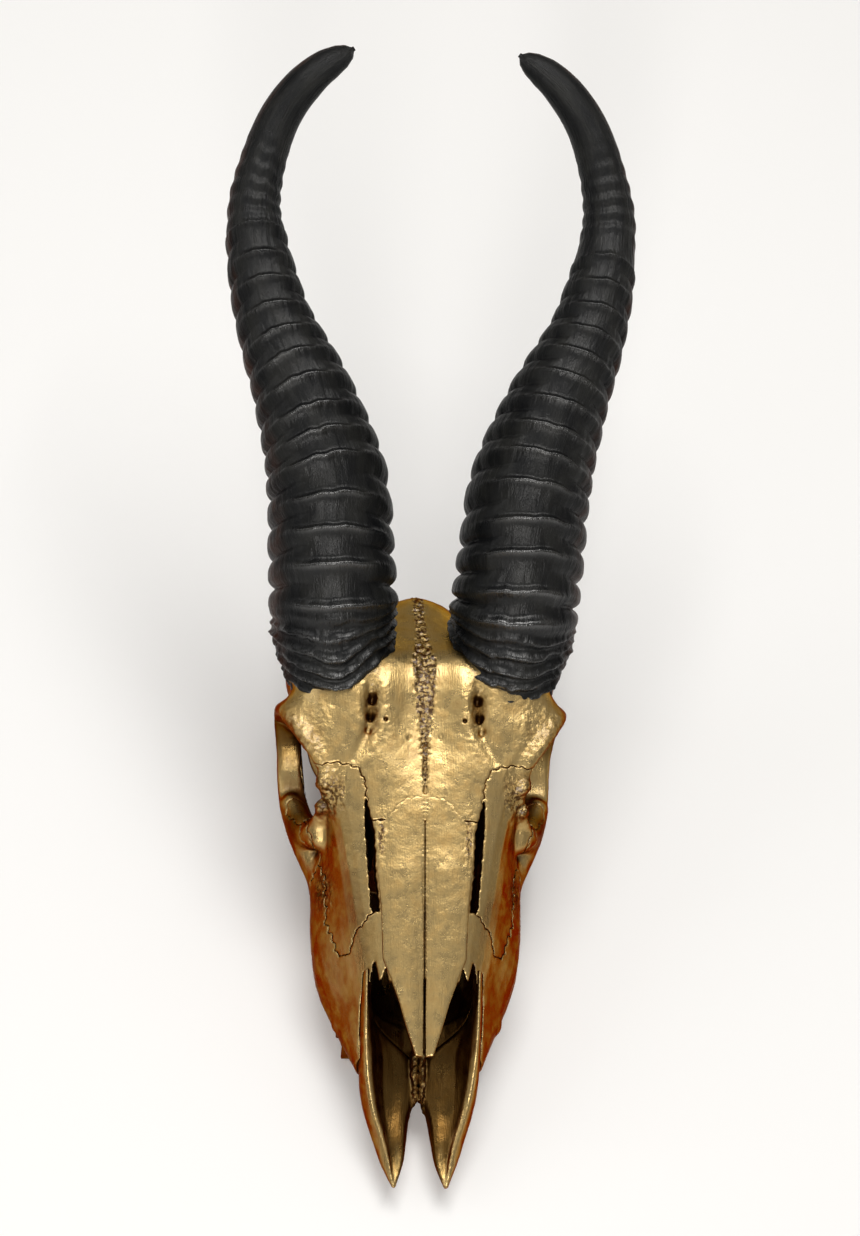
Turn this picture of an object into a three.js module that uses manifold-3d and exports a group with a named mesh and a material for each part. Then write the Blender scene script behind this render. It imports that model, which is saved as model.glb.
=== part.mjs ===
// Springbok skull with its horns, without the lower jaw, lying on its cheek teeth and paroccipital processes.
// Millimetres: x runs to the animal's left, y back from the tips of the premaxillae, z up from the table.
// Each bone that a suture sets apart is a mesh of its own, and the teeth belong to the maxilla they grow from.
import * as THREE from "three";
import { mergeVertices } from "three/addons/utils/BufferGeometryUtils.js";
import Module from "manifold-3d";

const wasm = await Module();
wasm.setup();

// Driving dimensions
const SKULL_LENGTH = 200;
const FACE_SLOPE = THREE.MathUtils.degToRad(23);
const SUTURE_GAP = 0.4;
const HORN_GAP = 0.35;
const MIDLINE_SLIT = 1.0;
const NASION = { y: 112, z: 69.5 };
const TABLE = 0;

// Horn: centre line of the left one, its half widths, and its rings
const HORN_LINE = [
  [28.5, 160, 69.5],
  [31.3, 185, 97.5],
  [33.6, 205, 114.5],
  [41.6, 227, 129],
  [52.5, 251, 141],
  [58.6, 277, 152.5],
  [58.8, 289, 159],
  [51.5, 310, 173],
  [41, 321, 182],
  [27.5, 328, 188.5],
];
const HORN_HALF_WIDTHS = [
  [0, 17.2],
  [6, 18.8],
  [20, 19.4],
  [63, 18.8],
  [90, 15.8],
  [119, 11.8],
  [147, 9.5],
  [174, 7.6],
  [204, 6.4],
  [215, 5.4],
  [221, 3.8],
  [223.5, 1.5],
];
const HORN_DEPTH_RATIO = 1.07;
const HORN_SIDES = 18;
const BASE_RIDGES = { first: 2, pitch: 4.6, count: 4, height: 0.9 };
const RINGS = { first: 22, pitch: 9.7, count: 14, height: 2.0, fade: 0.6, furrow: 0.8 };
const RING_SLANT = [
  [0, -0.5],
  [10, -0.25],
  [22, 0.2],
  [36, 0.38],
  [150, 0.35],
  [190, 0],
];
const BASE_MEDIAL_RISE = 0.24;

// Helpers that turn numbers into shapes

// A value read from [position, value] pairs, straight between them.
function valueAt(pairs, position) {
  const last = pairs.length - 1;
  if (position <= pairs[0][0]) return pairs[0][1];
  if (position >= pairs[last][0]) return pairs[last][1];
  const next = pairs.findIndex(([at]) => at > position);
  const [from, a] = pairs[next - 1];
  const [to, b] = pairs[next];
  return a + ((b - a) * (position - from)) / (to - from);
}

// A closed body through rings of points, each ring an array of as many Vector3, its ends closed at their middles.
function loft(rings) {
  const sides = rings[0].length;
  const points = rings.flat();
  const triangles = [];
  for (let i = 0; i + 1 < rings.length; i++) {
    for (let j = 0; j < sides; j++) {
      const a = i * sides + j;
      const b = i * sides + ((j + 1) % sides);
      triangles.push(a, b, a + sides, b, b + sides, a + sides);
    }
  }
  for (const [ring, first, flip] of [
    [rings[0], 0, true],
    [rings.at(-1), (rings.length - 1) * sides, false],
  ]) {
    const middle = ring
      .reduce((sum, p) => sum.add(p), new THREE.Vector3())
      .divideScalar(sides);
    points.push(middle);
    for (let j = 0; j < sides; j++) {
      const a = first + j;
      const b = first + ((j + 1) % sides);
      triangles.push(...(flip ? [points.length - 1, b, a] : [points.length - 1, a, b]));
    }
  }
  const geometry = new THREE.BufferGeometry().setFromPoints(points);
  geometry.setIndex(triangles);
  return geometry;
}

// Turns any closed geometry into a solid, facing out whichever way its faces were wound.
function solid(geometry) {
  const bare = geometry.index ? geometry.toNonIndexed() : geometry.clone();
  const merged = mergeVertices(
    new THREE.BufferGeometry().setAttribute("position", bare.getAttribute("position")),
    1e-4,
  );
  const build = (triVerts) =>
    new wasm.Manifold(
      new wasm.Mesh({
        numProp: 3,
        vertProperties: new Float32Array(merged.attributes.position.array),
        triVerts,
      }),
    );
  const corners = new Uint32Array(merged.index.array);
  const made = build(corners);
  if (made.volume() > 0) return made;
  for (let i = 0; i < corners.length; i += 3) {
    [corners[i + 1], corners[i + 2]] = [corners[i + 2], corners[i + 1]];
  }
  return build(corners);
}

function union(solids) {
  return solids.reduce((sum, one) => sum.add(one));
}

// The same geometry on the animal's right side.
function mirrored(geometry) {
  return geometry.clone().scale(-1, 1, 1);
}

// One solid of a geometry on the left and its mirror image on the right.
function pair(geometry) {
  return solid(geometry).add(solid(mirrored(geometry)));
}

// A body through cross-sections that stand across y. Each station is [y, [x, z], ...], a half outline from
// the top of the middle plane to its bottom, or a whole outline where half is false.
function crossSections(stations, { steps, perCorner = 3, half = true }) {
  const corners = stations[0].length - 1;
  const tracks = [];
  for (let c = 1; c <= corners; c++) {
    tracks.push(
      new THREE.CatmullRomCurve3(
        stations.map((station) => new THREE.Vector3(station[c][0], station[0], station[c][1])),
        false,
        "centripetal",
      ),
    );
  }
  const rings = [];
  const count = (stations.length - 1) * steps;
  for (let i = 0; i <= count; i++) {
    const outline = tracks.map((track) => track.getPoint(i / count));
    if (half) {
      const inner = outline.slice(1, -1).reverse();
      outline.push(...inner.map((p) => new THREE.Vector3(-p.x, p.y, p.z)));
    }
    const ring = new THREE.CatmullRomCurve3(outline, true, "centripetal").getPoints(
      outline.length * perCorner,
    );
    ring.pop();
    const y = outline[0].y;
    ring.forEach((p) => p.setY(y));
    rings.push(ring);
  }
  return loft(rings);
}

// A bar along a smooth line. Each knot is [x, y, z, half width across, half height], and up leans the section.
function bar(knots, { steps = 3, sides = 8, up = new THREE.Vector3(0, 0, 1), closed = false } = {}) {
  const line = new THREE.CatmullRomCurve3(
    knots.map(([x, y, z]) => new THREE.Vector3(x, y, z)),
    closed,
    "centripetal",
  );
  const spans = closed ? knots.length : knots.length - 1;
  const count = spans * steps;
  const rings = [];
  for (let i = 0; i <= count; i++) {
    const place = i / steps;
    const before = knots[Math.floor(place) % knots.length];
    const after = knots[Math.min(Math.floor(place) + 1, closed ? Infinity : knots.length - 1) % knots.length];
    const share = place - Math.floor(place);
    const across = THREE.MathUtils.lerp(before[3], after[3], share);
    const tall = THREE.MathUtils.lerp(before[4], after[4], share);
    const middle = line.getPoint(i / count);
    const along = line.getTangent(i / count);
    const side = new THREE.Vector3().crossVectors(along, up).normalize();
    const top = new THREE.Vector3().crossVectors(side, along).normalize();
    const ring = [];
    for (let j = 0; j < sides; j++) {
      const angle = (2 * Math.PI * j) / sides;
      ring.push(
        middle
          .clone()
          .addScaledVector(side, across * Math.cos(angle))
          .addScaledVector(top, tall * Math.sin(angle)),
      );
    }
    rings.push(ring);
  }
  if (!closed) return loft(rings);
  rings.pop();
  return loop(rings);
}

// A body through rings of points that closes on itself, like a torus.
function loop(rings) {
  const sides = rings[0].length;
  const triangles = [];
  for (let i = 0; i < rings.length; i++) {
    const next = (i + 1) % rings.length;
    for (let j = 0; j < sides; j++) {
      const k = (j + 1) % sides;
      triangles.push(i * sides + j, i * sides + k, next * sides + j);
      triangles.push(i * sides + k, next * sides + k, next * sides + j);
    }
  }
  const geometry = new THREE.BufferGeometry().setFromPoints(rings.flat());
  geometry.setIndex(triangles);
  return geometry;
}

function ellipsoid([x, y, z], [a, b, c], { around = 12, down = 8, tilt = 0 } = {}) {
  return new THREE.SphereGeometry(1, around, down)
    .scale(a, b, c)
    .rotateX(tilt)
    .translate(x, y, z);
}

// A prism on an outline in the plan plane, [x, y] points, between two heights.
function planPrism(outline, low, high) {
  const shape = new THREE.Shape(outline.map(([x, y]) => new THREE.Vector2(x, y)));
  return new THREE.ExtrudeGeometry(shape, { depth: high - low, bevelEnabled: false }).translate(0, 0, low);
}

// A prism on an outline in the side plane, [y, z] points, between two distances from the middle plane.
function sidePrism(outline, near, far) {
  const shape = new THREE.Shape(outline.map(([y, z]) => new THREE.Vector2(y, z)));
  return new THREE.ExtrudeGeometry(shape, { depth: far - near, bevelEnabled: false })
    .rotateX(Math.PI / 2)
    .rotateZ(Math.PI / 2)
    .translate(near, 0, 0);
}

// A prism that stands square to the sloping face. Its outline is [x, distance along the face from y = 0],
// and its heights are measured from the face line through the nasion.
function facePrism(outline, low, high) {
  const rise = NASION.z - NASION.y * Math.tan(FACE_SLOPE);
  return planPrism(outline, low, high).rotateX(FACE_SLOPE).translate(0, 0, rise);
}

// The outline with every edge moved out by the same distance, which leaves a gap round the piece cut with it.
function grown(outline, by) {
  const points = outline.map(([a, b]) => new THREE.Vector2(a, b));
  const turn = Math.sign(THREE.ShapeUtils.area(points));
  const normal = (from, to) => {
    const along = to.clone().sub(from).normalize();
    return new THREE.Vector2(along.y * turn, -along.x * turn);
  };
  return points.map((point, i) => {
    const before = normal(points.at(i - 1), point);
    const after = normal(point, points[(i + 1) % points.length]);
    const away = before.clone().add(after).multiplyScalar(by / (1 + before.dot(after)));
    return [point.x + away.x, point.y + away.y];
  });
}

// Horns

// How far the horn stands out from its bare width at a distance along it. Above the crowded ridges of the base
// each ring has a sharp crest and falls away towards the base, as far as a narrow furrow over the next crest.
function ringHeight(distance) {
  const ridge = (distance - BASE_RIDGES.first) / BASE_RIDGES.pitch;
  if (ridge < BASE_RIDGES.count - 0.5) return BASE_RIDGES.height * Math.cos(Math.PI * ridge) ** 2;
  const ring = (distance - RINGS.first) / RINGS.pitch;
  const fall = Math.ceil(ring) - ring;
  const share = fall < RINGS.furrow ? 1 - (fall / RINGS.furrow) ** 1.8 : (fall - RINGS.furrow) / (1 - RINGS.furrow);
  const fade = 1 - RINGS.fade * Math.max(ring / RINGS.count, 0);
  return ring > RINGS.count - 1 ? 0 : RINGS.height * fade * share;
}

// Distances along the horn where its mesh has a ring of points: crests, furrows and steps between them.
function hornStops(length) {
  const stops = [0];
  for (let i = 0; i < BASE_RIDGES.count * 2 - 1; i++) {
    stops.push(BASE_RIDGES.first + (i * BASE_RIDGES.pitch) / 2);
  }
  for (let i = 0; i < RINGS.count; i++) {
    const crest = RINGS.first + i * RINGS.pitch;
    if (i > 0) {
      stops.push(crest - RINGS.furrow * RINGS.pitch, crest - 0.4 * RINGS.pitch);
    }
    stops.push(crest);
  }
  const end = stops.at(-1);
  const smooth = 12;
  for (let i = 1; i <= smooth; i++) {
    stops.push(end + (length - end) * Math.sin((Math.PI * i) / smooth / 2));
  }
  return stops;
}

// The left horn, or with extra the larger body that leaves a gap round its base.
function hornGeometry(extra = 0) {
  const line = new THREE.CatmullRomCurve3(
    HORN_LINE.map((p) => new THREE.Vector3(...p)),
    false,
    "centripetal",
  );
  const length = line.getLength();
  const rings = hornStops(length).map((at, i) => {
    const stop = i === 0 ? at - extra : at;
    const width = valueAt(HORN_HALF_WIDTHS, stop) + ringHeight(stop) + extra;
    const slant = valueAt(RING_SLANT, stop) * width;
    const medial = BASE_MEDIAL_RISE * width * Math.max(0, 1 - stop / RINGS.first);
    const ring = [];
    for (let j = 0; j < HORN_SIDES; j++) {
      const angle = (2 * Math.PI * j) / HORN_SIDES;
      const front = Math.cos(angle);
      const outward = Math.sin(angle);
      const reach = (stop + slant * front - medial * outward) / length;
      const on = THREE.MathUtils.clamp(reach, 0, 1);
      const along = line.getTangentAt(on);
      const side = new THREE.Vector3().crossVectors(along, new THREE.Vector3(0, -0.6, 0.8)).normalize();
      const face = new THREE.Vector3().crossVectors(side, along).normalize();
      const below = (reach - on) * length;
      ring.push(
        line
          .getPointAt(on)
          .addScaledVector(along, below)
          .addScaledVector(face, width * HORN_DEPTH_RATIO * front)
          .addScaledVector(side, width * outward),
      );
    }
    return ring;
  });
  return loft(rings);
}

// Bones

// Face: both maxillae, with the lacrimals behind them, as one body
function faceBody() {
  return solid(
    crossSections(
      [
        [39, [0, 37], [8, 36.5], [14.5, 32], [19, 26], [21, 20.5], [18, 12], [11, 12.5], [0, 13.5]],
        [55, [0, 46.5], [11, 46], [17.5, 41.5], [22.8, 32], [26.8, 22], [26, 12.5], [14, 12], [0, 15.5]],
        [70, [0, 53], [13, 52.3], [20.5, 47.5], [27, 37], [32.5, 26], [30.8, 12], [16, 12.5], [0, 17.5]],
        [86, [0, 59.5], [14.5, 59], [23.5, 54.5], [29.5, 42], [34.8, 27], [31.5, 12], [17, 13.5], [0, 19.5]],
        [100, [0, 65], [16, 64.5], [26, 60], [30.5, 47], [34, 32], [30.5, 15], [18, 15], [0, 21]],
        [112, [0, 69.5], [18, 69], [29, 64.5], [31.5, 52], [32, 37], [28, 20], [17, 17], [0, 22.5]],
        [124, [0, 73], [20, 73], [31, 69], [31, 56], [28, 40], [22, 27], [14, 22], [0, 25]],
      ],
      { steps: 2, perCorner: 2 },
    ),
  );
}

// Braincase with the frontals in front of it
function craniumBody() {
  return solid(
    crossSections(
      [
        [108, [0, 68], [14, 68], [27, 64], [30, 58], [28, 48], [18, 38], [9, 30], [0, 26]],
        [118, [0, 71.5], [15, 72], [30, 69], [34, 64], [29, 52], [15, 40], [8, 30], [0, 26]],
        [128, [0, 75], [16, 76], [36, 73], [39.5, 68.5], [28, 56], [13, 40], [8, 30], [0, 26]],
        [138, [0, 78.5], [17, 80.5], [40, 76], [44.5, 71], [30, 57], [15, 40], [9, 29], [0, 25]],
        [146, [0, 81], [18, 83.5], [40, 77], [45.5, 70.5], [33, 56], [22, 40], [12, 28], [0, 25]],
        [156, [0, 82], [17, 84], [34, 76], [36, 62], [29, 50], [25, 36], [14, 26], [0, 24]],
        [168, [0, 78], [14, 77], [27, 69], [30, 56], [30, 44], [26, 32], [14, 25], [0, 23]],
        [180, [0, 73.5], [12, 70.5], [23, 61], [30, 49], [31, 40], [27, 30], [14, 24], [0, 22]],
        [190, [0, 69], [9, 65], [18, 54], [26, 44], [27, 37], [23, 28], [13, 23], [0, 22]],
        [196, [0, 59], [7, 55], [13, 47], [17, 40], [18, 34], [15, 27], [10, 23], [0, 22]],
      ],
      { steps: 2, perCorner: 2 },
    ),
  );
}

// Rim of the orbit, round the eye socket of the left side
const ORBIT_RIM = [
  [31.5, 121, 66.5, 2.5, 3],
  [39, 131, 72.5, 2.6, 2.6],
  [44.5, 142.5, 70.5, 2.6, 3.2],
  [44.5, 149, 58, 3, 3.6],
  [42.6, 147, 44, 3.9, 4],
  [40.5, 133, 36, 5, 4],
  [37.6, 117, 37.5, 4.4, 4],
  [35, 111, 44, 3, 4],
  [33, 113, 54, 3, 3.5],
];
const ORBIT = { centre: [46, 129.5, 54], radii: [25, 18.5, 17.5] };

function orbitRims() {
  return pair(bar(ORBIT_RIM, { closed: true, up: new THREE.Vector3(1, 0, 0), steps: 2 }));
}

function orbitHollows() {
  return pair(ellipsoid(ORBIT.centre, ORBIT.radii, { around: 16, down: 10 }));
}

// Zygomatic arch of the left side: its root on the maxilla, the bar under the orbit, and the way back
function archGeometries() {
  const root = bar([
    [28, 90, 26, 4, 7],
    [32, 103, 30, 4, 6.5],
    [38, 116, 34.5, 4, 5],
    [42, 133, 35, 3.2, 4.5],
  ]);
  const back = bar([
    [43, 133, 35, 3, 4.5],
    [42, 149, 38, 2.6, 4.5],
    [38.5, 163, 40, 2.6, 4],
    [33, 176, 41, 3.2, 4.5],
    [27, 183, 41, 4, 5],
  ]);
  return [root, back];
}

// Base of the skull: the beam in the middle, bullae, condyles, paroccipital and pterygoid processes
const CONDYLE = { centre: [10, SKULL_LENGTH - 6, 31], radii: [6.5, 6, 9] };
const BULLA = { centre: [15.5, 172, 21], radii: [7, 12, 9] };
const FORAMEN_MAGNUM = { radius: 8, z: 38, depth: 22 };

function skullBase() {
  const beam = crossSections(
    [
      [104, [0, 30], [8, 30], [10, 24], [0, 21]],
      [130, [0, 31], [8, 31], [7, 23], [0, 21]],
      [165, [0, 34], [12, 32], [11, 21], [0, 18]],
      [198, [0, 34], [13, 32], [12, 23], [0, 21]],
    ],
    { steps: 2 },
  );
  const paroccipital = bar(
    [
      [25.5, 184, 38, 4, 8],
      [25, 186, 24, 3.4, 7],
      [23, 186.5, 11, 2.8, 5.5],
      [21.5, 186, -2, 2.4, 4.4],
    ],
    { up: new THREE.Vector3(0, 1, 0), sides: 10 },
  );
  const pterygoid = bar(
    [
      [14, 106, 20, 3, 5],
      [11, 122, 20, 1.8, 7],
      [9.5, 136, 20, 1.6, 8],
      [9, 150, 23, 1.6, 5],
    ],
    { sides: 8 },
  );
  return union([
    solid(beam),
    pair(paroccipital),
    pair(pterygoid),
    pair(ellipsoid(BULLA.centre, BULLA.radii)),
    pair(ellipsoid(CONDYLE.centre, CONDYLE.radii)),
  ]);
}

// Pedicles: the bone that carries each horn, ending just under it
function pedicles() {
  return pair(
    bar(
      [
        [22, 142, 48, 15, 15],
        [27.8, 158.4, 67.6, 17.2, 18],
        [28.6, 161.2, 71, 16.8, 17.6],
      ],
      { up: new THREE.Vector3(0, -0.6, 0.8), sides: 20, steps: 2 },
    ),
  );
}

// Cheek teeth of the left side: place along the jaw, length, and width of each crown
const CHEEK_TEETH = [
  { y: 55, x: 20.6, length: 7, width: 6.5, lobes: 1 },
  { y: 62.6, x: 21.6, length: 7.6, width: 7.6, lobes: 1 },
  { y: 70.6, x: 22.2, length: 7.8, width: 8.6, lobes: 1 },
  { y: 80.2, x: 23.8, length: 10.8, width: 10.6, lobes: 2 },
  { y: 92.2, x: 24.8, length: 12.6, width: 11.2, lobes: 2 },
  { y: 105.4, x: 24.4, length: 13.2, width: 10.4, lobes: 2 },
];
const CROWN_TOP = 17;
const PREMOLAR_LIFT = 0.6;
const STYLE_DEPTH = 0.9;

// One crown seen from below: lobes on both sides, with the ribs called styles where they meet the ends.
function crownOutline({ x, y, length, width, lobes }) {
  const points = [];
  const perLobe = 4;
  const total = lobes * perLobe;
  const wave = (i) => Math.abs(Math.cos((Math.PI * i) / perLobe));
  for (let i = 0; i <= total; i++) {
    points.push([x + width / 2 - STYLE_DEPTH * (1 - wave(i)), y - length / 2 + (length * i) / total]);
  }
  for (let i = total; i >= 0; i--) {
    const bulge = 1.6 * STYLE_DEPTH * wave(i);
    points.push([x - width / 2 + bulge, y - length / 2 + (length * i) / total]);
  }
  return points;
}

function cheekTeeth() {
  return union(
    CHEEK_TEETH.map((tooth) => {
      const low = TABLE + (tooth.lobes === 1 ? PREMOLAR_LIFT : 0);
      return pair(planPrism(crownOutline(tooth), low, CROWN_TOP));
    }),
  );
}

// Hollow of the nose: open in front and above as far as the notch beside the nasals, then closed by a roof
function noseHollow() {
  const open = crossSections(
    [
      [30, [0, 90], [15, 90], [16, 26], [11, 13], [0, 13]],
      [42, [0, 90], [16.5, 90], [17.5, 30], [12, 15.5], [0, 15]],
      [56, [0, 90], [16, 90], [18, 38], [14, 19], [0, 18.5]],
    ],
    { steps: 2, perCorner: 1 },
  );
  const roofed = crossSections(
    [
      [54, [0, 43], [13, 42], [18, 36], [15, 20], [0, 18.5]],
      [72, [0, 49.5], [14, 48.5], [19, 38], [16, 23], [0, 21]],
      [96, [0, 58], [15, 57], [19, 45], [16, 28], [0, 26]],
    ],
    { steps: 2, perCorner: 1 },
  );
  return solid(open).add(solid(roofed));
}

// Long gaps beside the nasals, between them, the maxilla and the frontal
function faceGaps() {
  return pair(
    facePrism(
      [
        [19.6, 121.4],
        [18.2, 116],
        [16.4, 109],
        [16, 96],
        [14.6, 83.5],
        [17.2, 83.5],
        [18.6, 100],
        [19.4, 110],
      ],
      -22,
      12,
    ),
  );
}

// Small pits: supraorbital, two on each side, and the opening for the spinal cord
function pits() {
  const pit = (x, y, radius, low, high) =>
    new THREE.CylinderGeometry(radius, radius * 0.7, high - low, 10)
      .rotateX(Math.PI / 2)
      .translate(x, y, (low + high) / 2);
  const magnum = new THREE.CylinderGeometry(
    FORAMEN_MAGNUM.radius,
    FORAMEN_MAGNUM.radius * 0.8,
    FORAMEN_MAGNUM.depth * 2,
    16,
  ).translate(0, SKULL_LENGTH, FORAMEN_MAGNUM.z);
  return union([
    pair(pit(17.2, 138.5, 2.3, 68, 90)),
    pair(pit(17.8, 132.5, 1.8, 68, 90)),
    solid(magnum),
  ]);
}

// Left premaxilla: a trough that rises behind into the side wall of the nose. Whole outlines, [x, z].
function premaxillaGeometry(gap = 0) {
  const stations = [
    [0.4, [8.7, 9.2], [9, 9.8], [8.7, 10.3], [8.3, 10.3], [7.9, 9.8], [8, 9.2]],
    [9.5, [12.1, 8.4], [12.5, 11.2], [11.1, 12.4], [8.8, 11], [5.6, 11.4], [5.2, 8.6]],
    [16.5, [13.8, 8.8], [14.9, 13.6], [13.4, 15.2], [9.4, 11.4], [5, 12.8], [4.2, 8.6]],
    [24, [15.6, 9.4], [17.4, 17.2], [15.8, 19], [10, 12], [4.2, 13.6], [3.2, 9]],
    [32, [17, 10.2], [19, 22.6], [17.4, 24.8], [10.6, 12.6], [1.8, 14.8], [0.7, 9.6]],
    [42, [17, 12.4], [19.4, 30], [17.8, 33], [10, 14.6], [1.8, 16.4], [0.7, 11.2]],
    [52, [17.6, 24], [19.8, 36], [18.2, 39.6], [16, 34], [15.6, 28], [16, 22]],
    [61, [18, 38], [19.4, 43], [18.2, 45.4], [17.2, 43], [16.8, 40], [17.2, 37]],
  ];
  if (gap) {
    for (const station of stations) {
      const outline = grown(station.slice(1), gap);
      station.splice(1, outline.length, ...outline);
    }
    stations[0][0] -= gap;
    stations.at(-1)[0] += gap;
  }
  return crossSections(stations, { steps: 2, perCorner: 2, half: false });
}

// Left nasal: half outline in the face plane, and its thickness under the surface
const NASAL_OUTLINE = [
  [MIDLINE_SLIT / 2, 36.5],
  [3, 37],
  [5.2, 44],
  [8.2, 54],
  [11.2, 62.5],
  [13.6, 68],
  [14.2, 84],
  [15.6, 97],
  [15.8, 108],
  [13, 114],
  [6, 119.5],
  [MIDLINE_SLIT / 2, 122],
];
const NASAL_THICKNESS = 5;

function nasalRegion(gap = 0) {
  return facePrism(gap ? grown(NASAL_OUTLINE, gap) : NASAL_OUTLINE, -NASAL_THICKNESS - gap, 20);
}

// Both nasals as one arched plate, before it is cut to its outline
function nasalPlate() {
  const arch = (y, top, edge, drop) => [
    y,
    [0, top],
    [edge * 0.55, top - drop * 0.25],
    [edge, top - drop],
    [edge, top - drop - 3],
    [edge * 0.55, top - drop * 0.25 - 4],
    [0, top - 4],
  ];
  return solid(
    crossSections(
      [
        arch(32, 37.2, 9, 1.5),
        arch(45, 42.6, 12, 2),
        arch(60, 49.2, 17, 2.5),
        arch(86, 59.9, 19, 2.5),
        arch(114, 70.2, 20, 2.5),
      ],
      { steps: 2, perCorner: 2 },
    ),
  );
}

// Regions that part the bones, each on the left side

// Maxilla: side view outline of everything in front of the orbit and under the lacrimal
const MAXILLA_SIDE = [
  [20, -5],
  [114, -5],
  [113.5, 24],
  [108, 34],
  [104, 46],
  [103, 62],
  [112, 90],
  [20, 90],
];
// Lacrimal: outline in the face plane, between the long gap and the orbit, and how deep it reaches
const LACRIMAL_FACE = [
  [15.8, 84.5],
  [19.4, 123],
  [29, 126.5],
  [37, 124],
  [37, 112],
  [31, 97],
  [30.5, 82],
  [26.5, 70],
  [23.5, 71],
  [22, 77],
];
const LACRIMAL_DEPTH = 24;
// Zygomatic bone: side view outline of the root, the lower rim of the orbit and half of the arch
const ZYGOMATIC_SIDE = [
  [97, 14],
  [99, 30],
  [104, 42],
  [113, 46],
  [122, 39],
  [138, 41],
  [143, 55],
  [156, 55],
  [153, 44],
  [166, 44],
  [162, 34],
  [140, 26],
  [112, 22],
];
// Its inner limit from above, as [x, y]
const ZYGOMATIC_PLAN = [
  [29.5, 95],
  [29.5, 112],
  [35, 125],
  [38.5, 140],
  [35, 168],
  [70, 168],
  [70, 95],
];

// Largest closed surface of a solid, so that scraps from the cuts are dropped.
function largest(body) {
  return body
    .decompose()
    .sort((a, b) => b.volume() - a.volume())[0];
}

function geometryOf(body) {
  const mesh = body.getMesh();
  const geometry = new THREE.BufferGeometry();
  geometry.setAttribute("position", new THREE.BufferAttribute(new Float32Array(mesh.vertProperties), 3));
  geometry.setIndex(new THREE.BufferAttribute(new Uint32Array(mesh.triVerts), 1));
  return geometry;
}

// The whole skull, then parted bone by bone
function skullBones() {
  const arches = archGeometries().flatMap((one) => [solid(one), solid(mirrored(one))]);
  const tableCut = solid(
    new THREE.BoxGeometry(200, 400, 40).translate(0, 120, TABLE - 20),
  );
  const horns = pair(hornGeometry(HORN_GAP));
  const premaxillae = pair(premaxillaGeometry(SUTURE_GAP));
  let rest = union([faceBody(), craniumBody(), ...arches, orbitRims(), skullBase(), pedicles()])
    .subtract(orbitHollows())
    .add(cheekTeeth())
    .subtract(noseHollow())
    .subtract(faceGaps())
    .subtract(pits())
    .subtract(horns)
    .subtract(premaxillae)
    .subtract(tableCut);
  rest = rest.subtract(pair(nasalRegion(SUTURE_GAP)));

  const bones = {};
  const part = (name, region, gapRegion) => {
    for (const [side, turn] of [
      ["left", (body) => body],
      ["right", (body) => body.mirror([1, 0, 0])],
    ]) {
      bones[`${name}_${side}`] = largest(rest.intersect(turn(region)));
      rest = rest.subtract(turn(gapRegion));
    }
  };
  part(
    "zygomatic",
    solid(sidePrism(ZYGOMATIC_SIDE, 0, 70)).intersect(solid(planPrism(ZYGOMATIC_PLAN, 0, 100))),
    solid(sidePrism(grown(ZYGOMATIC_SIDE, SUTURE_GAP), 0, 70)).intersect(
      solid(planPrism(grown(ZYGOMATIC_PLAN, SUTURE_GAP), 0, 100)),
    ),
  );
  part(
    "lacrimal",
    solid(facePrism(LACRIMAL_FACE, -LACRIMAL_DEPTH, 20)),
    solid(facePrism(grown(LACRIMAL_FACE, SUTURE_GAP), -LACRIMAL_DEPTH - SUTURE_GAP, 20)),
  );
  part(
    "maxilla",
    solid(sidePrism(MAXILLA_SIDE, SUTURE_GAP / 2, 70)),
    solid(sidePrism(grown(MAXILLA_SIDE, SUTURE_GAP), 0, 70)),
  );
  bones.cranium = largest(rest);

  const plate = nasalPlate();
  bones.nasal_left = largest(plate.intersect(solid(nasalRegion())));
  bones.nasal_right = largest(plate.intersect(solid(mirrored(nasalRegion()))));
  const midline = solid(new THREE.BoxGeometry(MIDLINE_SLIT, 160, 80).translate(0, 30, 30));
  bones.premaxilla_left = largest(solid(premaxillaGeometry()).subtract(midline));
  bones.premaxilla_right = largest(solid(mirrored(premaxillaGeometry())).subtract(midline));
  return bones;
}

// Finishes and the assembled skull

const gilded = { color: 0xb08a3e, roughness: 0.38, metalness: 1 };
const hornBlack = { color: 0x1b1c1e, roughness: 0.5, metalness: 0 };

function mesh(name, geometry, finish) {
  const made = new THREE.Mesh(geometry, new THREE.MeshStandardMaterial(finish));
  made.name = name;
  return made;
}

const skull = new THREE.Group();
for (const [name, bone] of Object.entries(skullBones())) {
  skull.add(mesh(name, geometryOf(bone), gilded));
}
skull.add(mesh("horn_left", geometryOf(solid(hornGeometry())), hornBlack));
skull.add(mesh("horn_right", geometryOf(solid(mirrored(hornGeometry()))), hornBlack));

// The part's origin is on the table, under the middle of its box.
const box = new THREE.Box3().setFromObject(skull);
const centre = box.getCenter(new THREE.Vector3());
skull.position.set(-centre.x, -centre.y, -box.min.z);

export default skull;
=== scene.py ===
"""Springbok skull, gilded, with its black horns, lying on a pale studio floor.

The bones are carved from a distance field in millimetres: x to the animal's left, y back from the muzzle
and z up. Each bone is polygonised on its own and has a grained gold surface. The horns are swept along
their centre line.
"""

import math

import bpy
import numpy as np
from mathutils import Matrix, Vector


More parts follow.
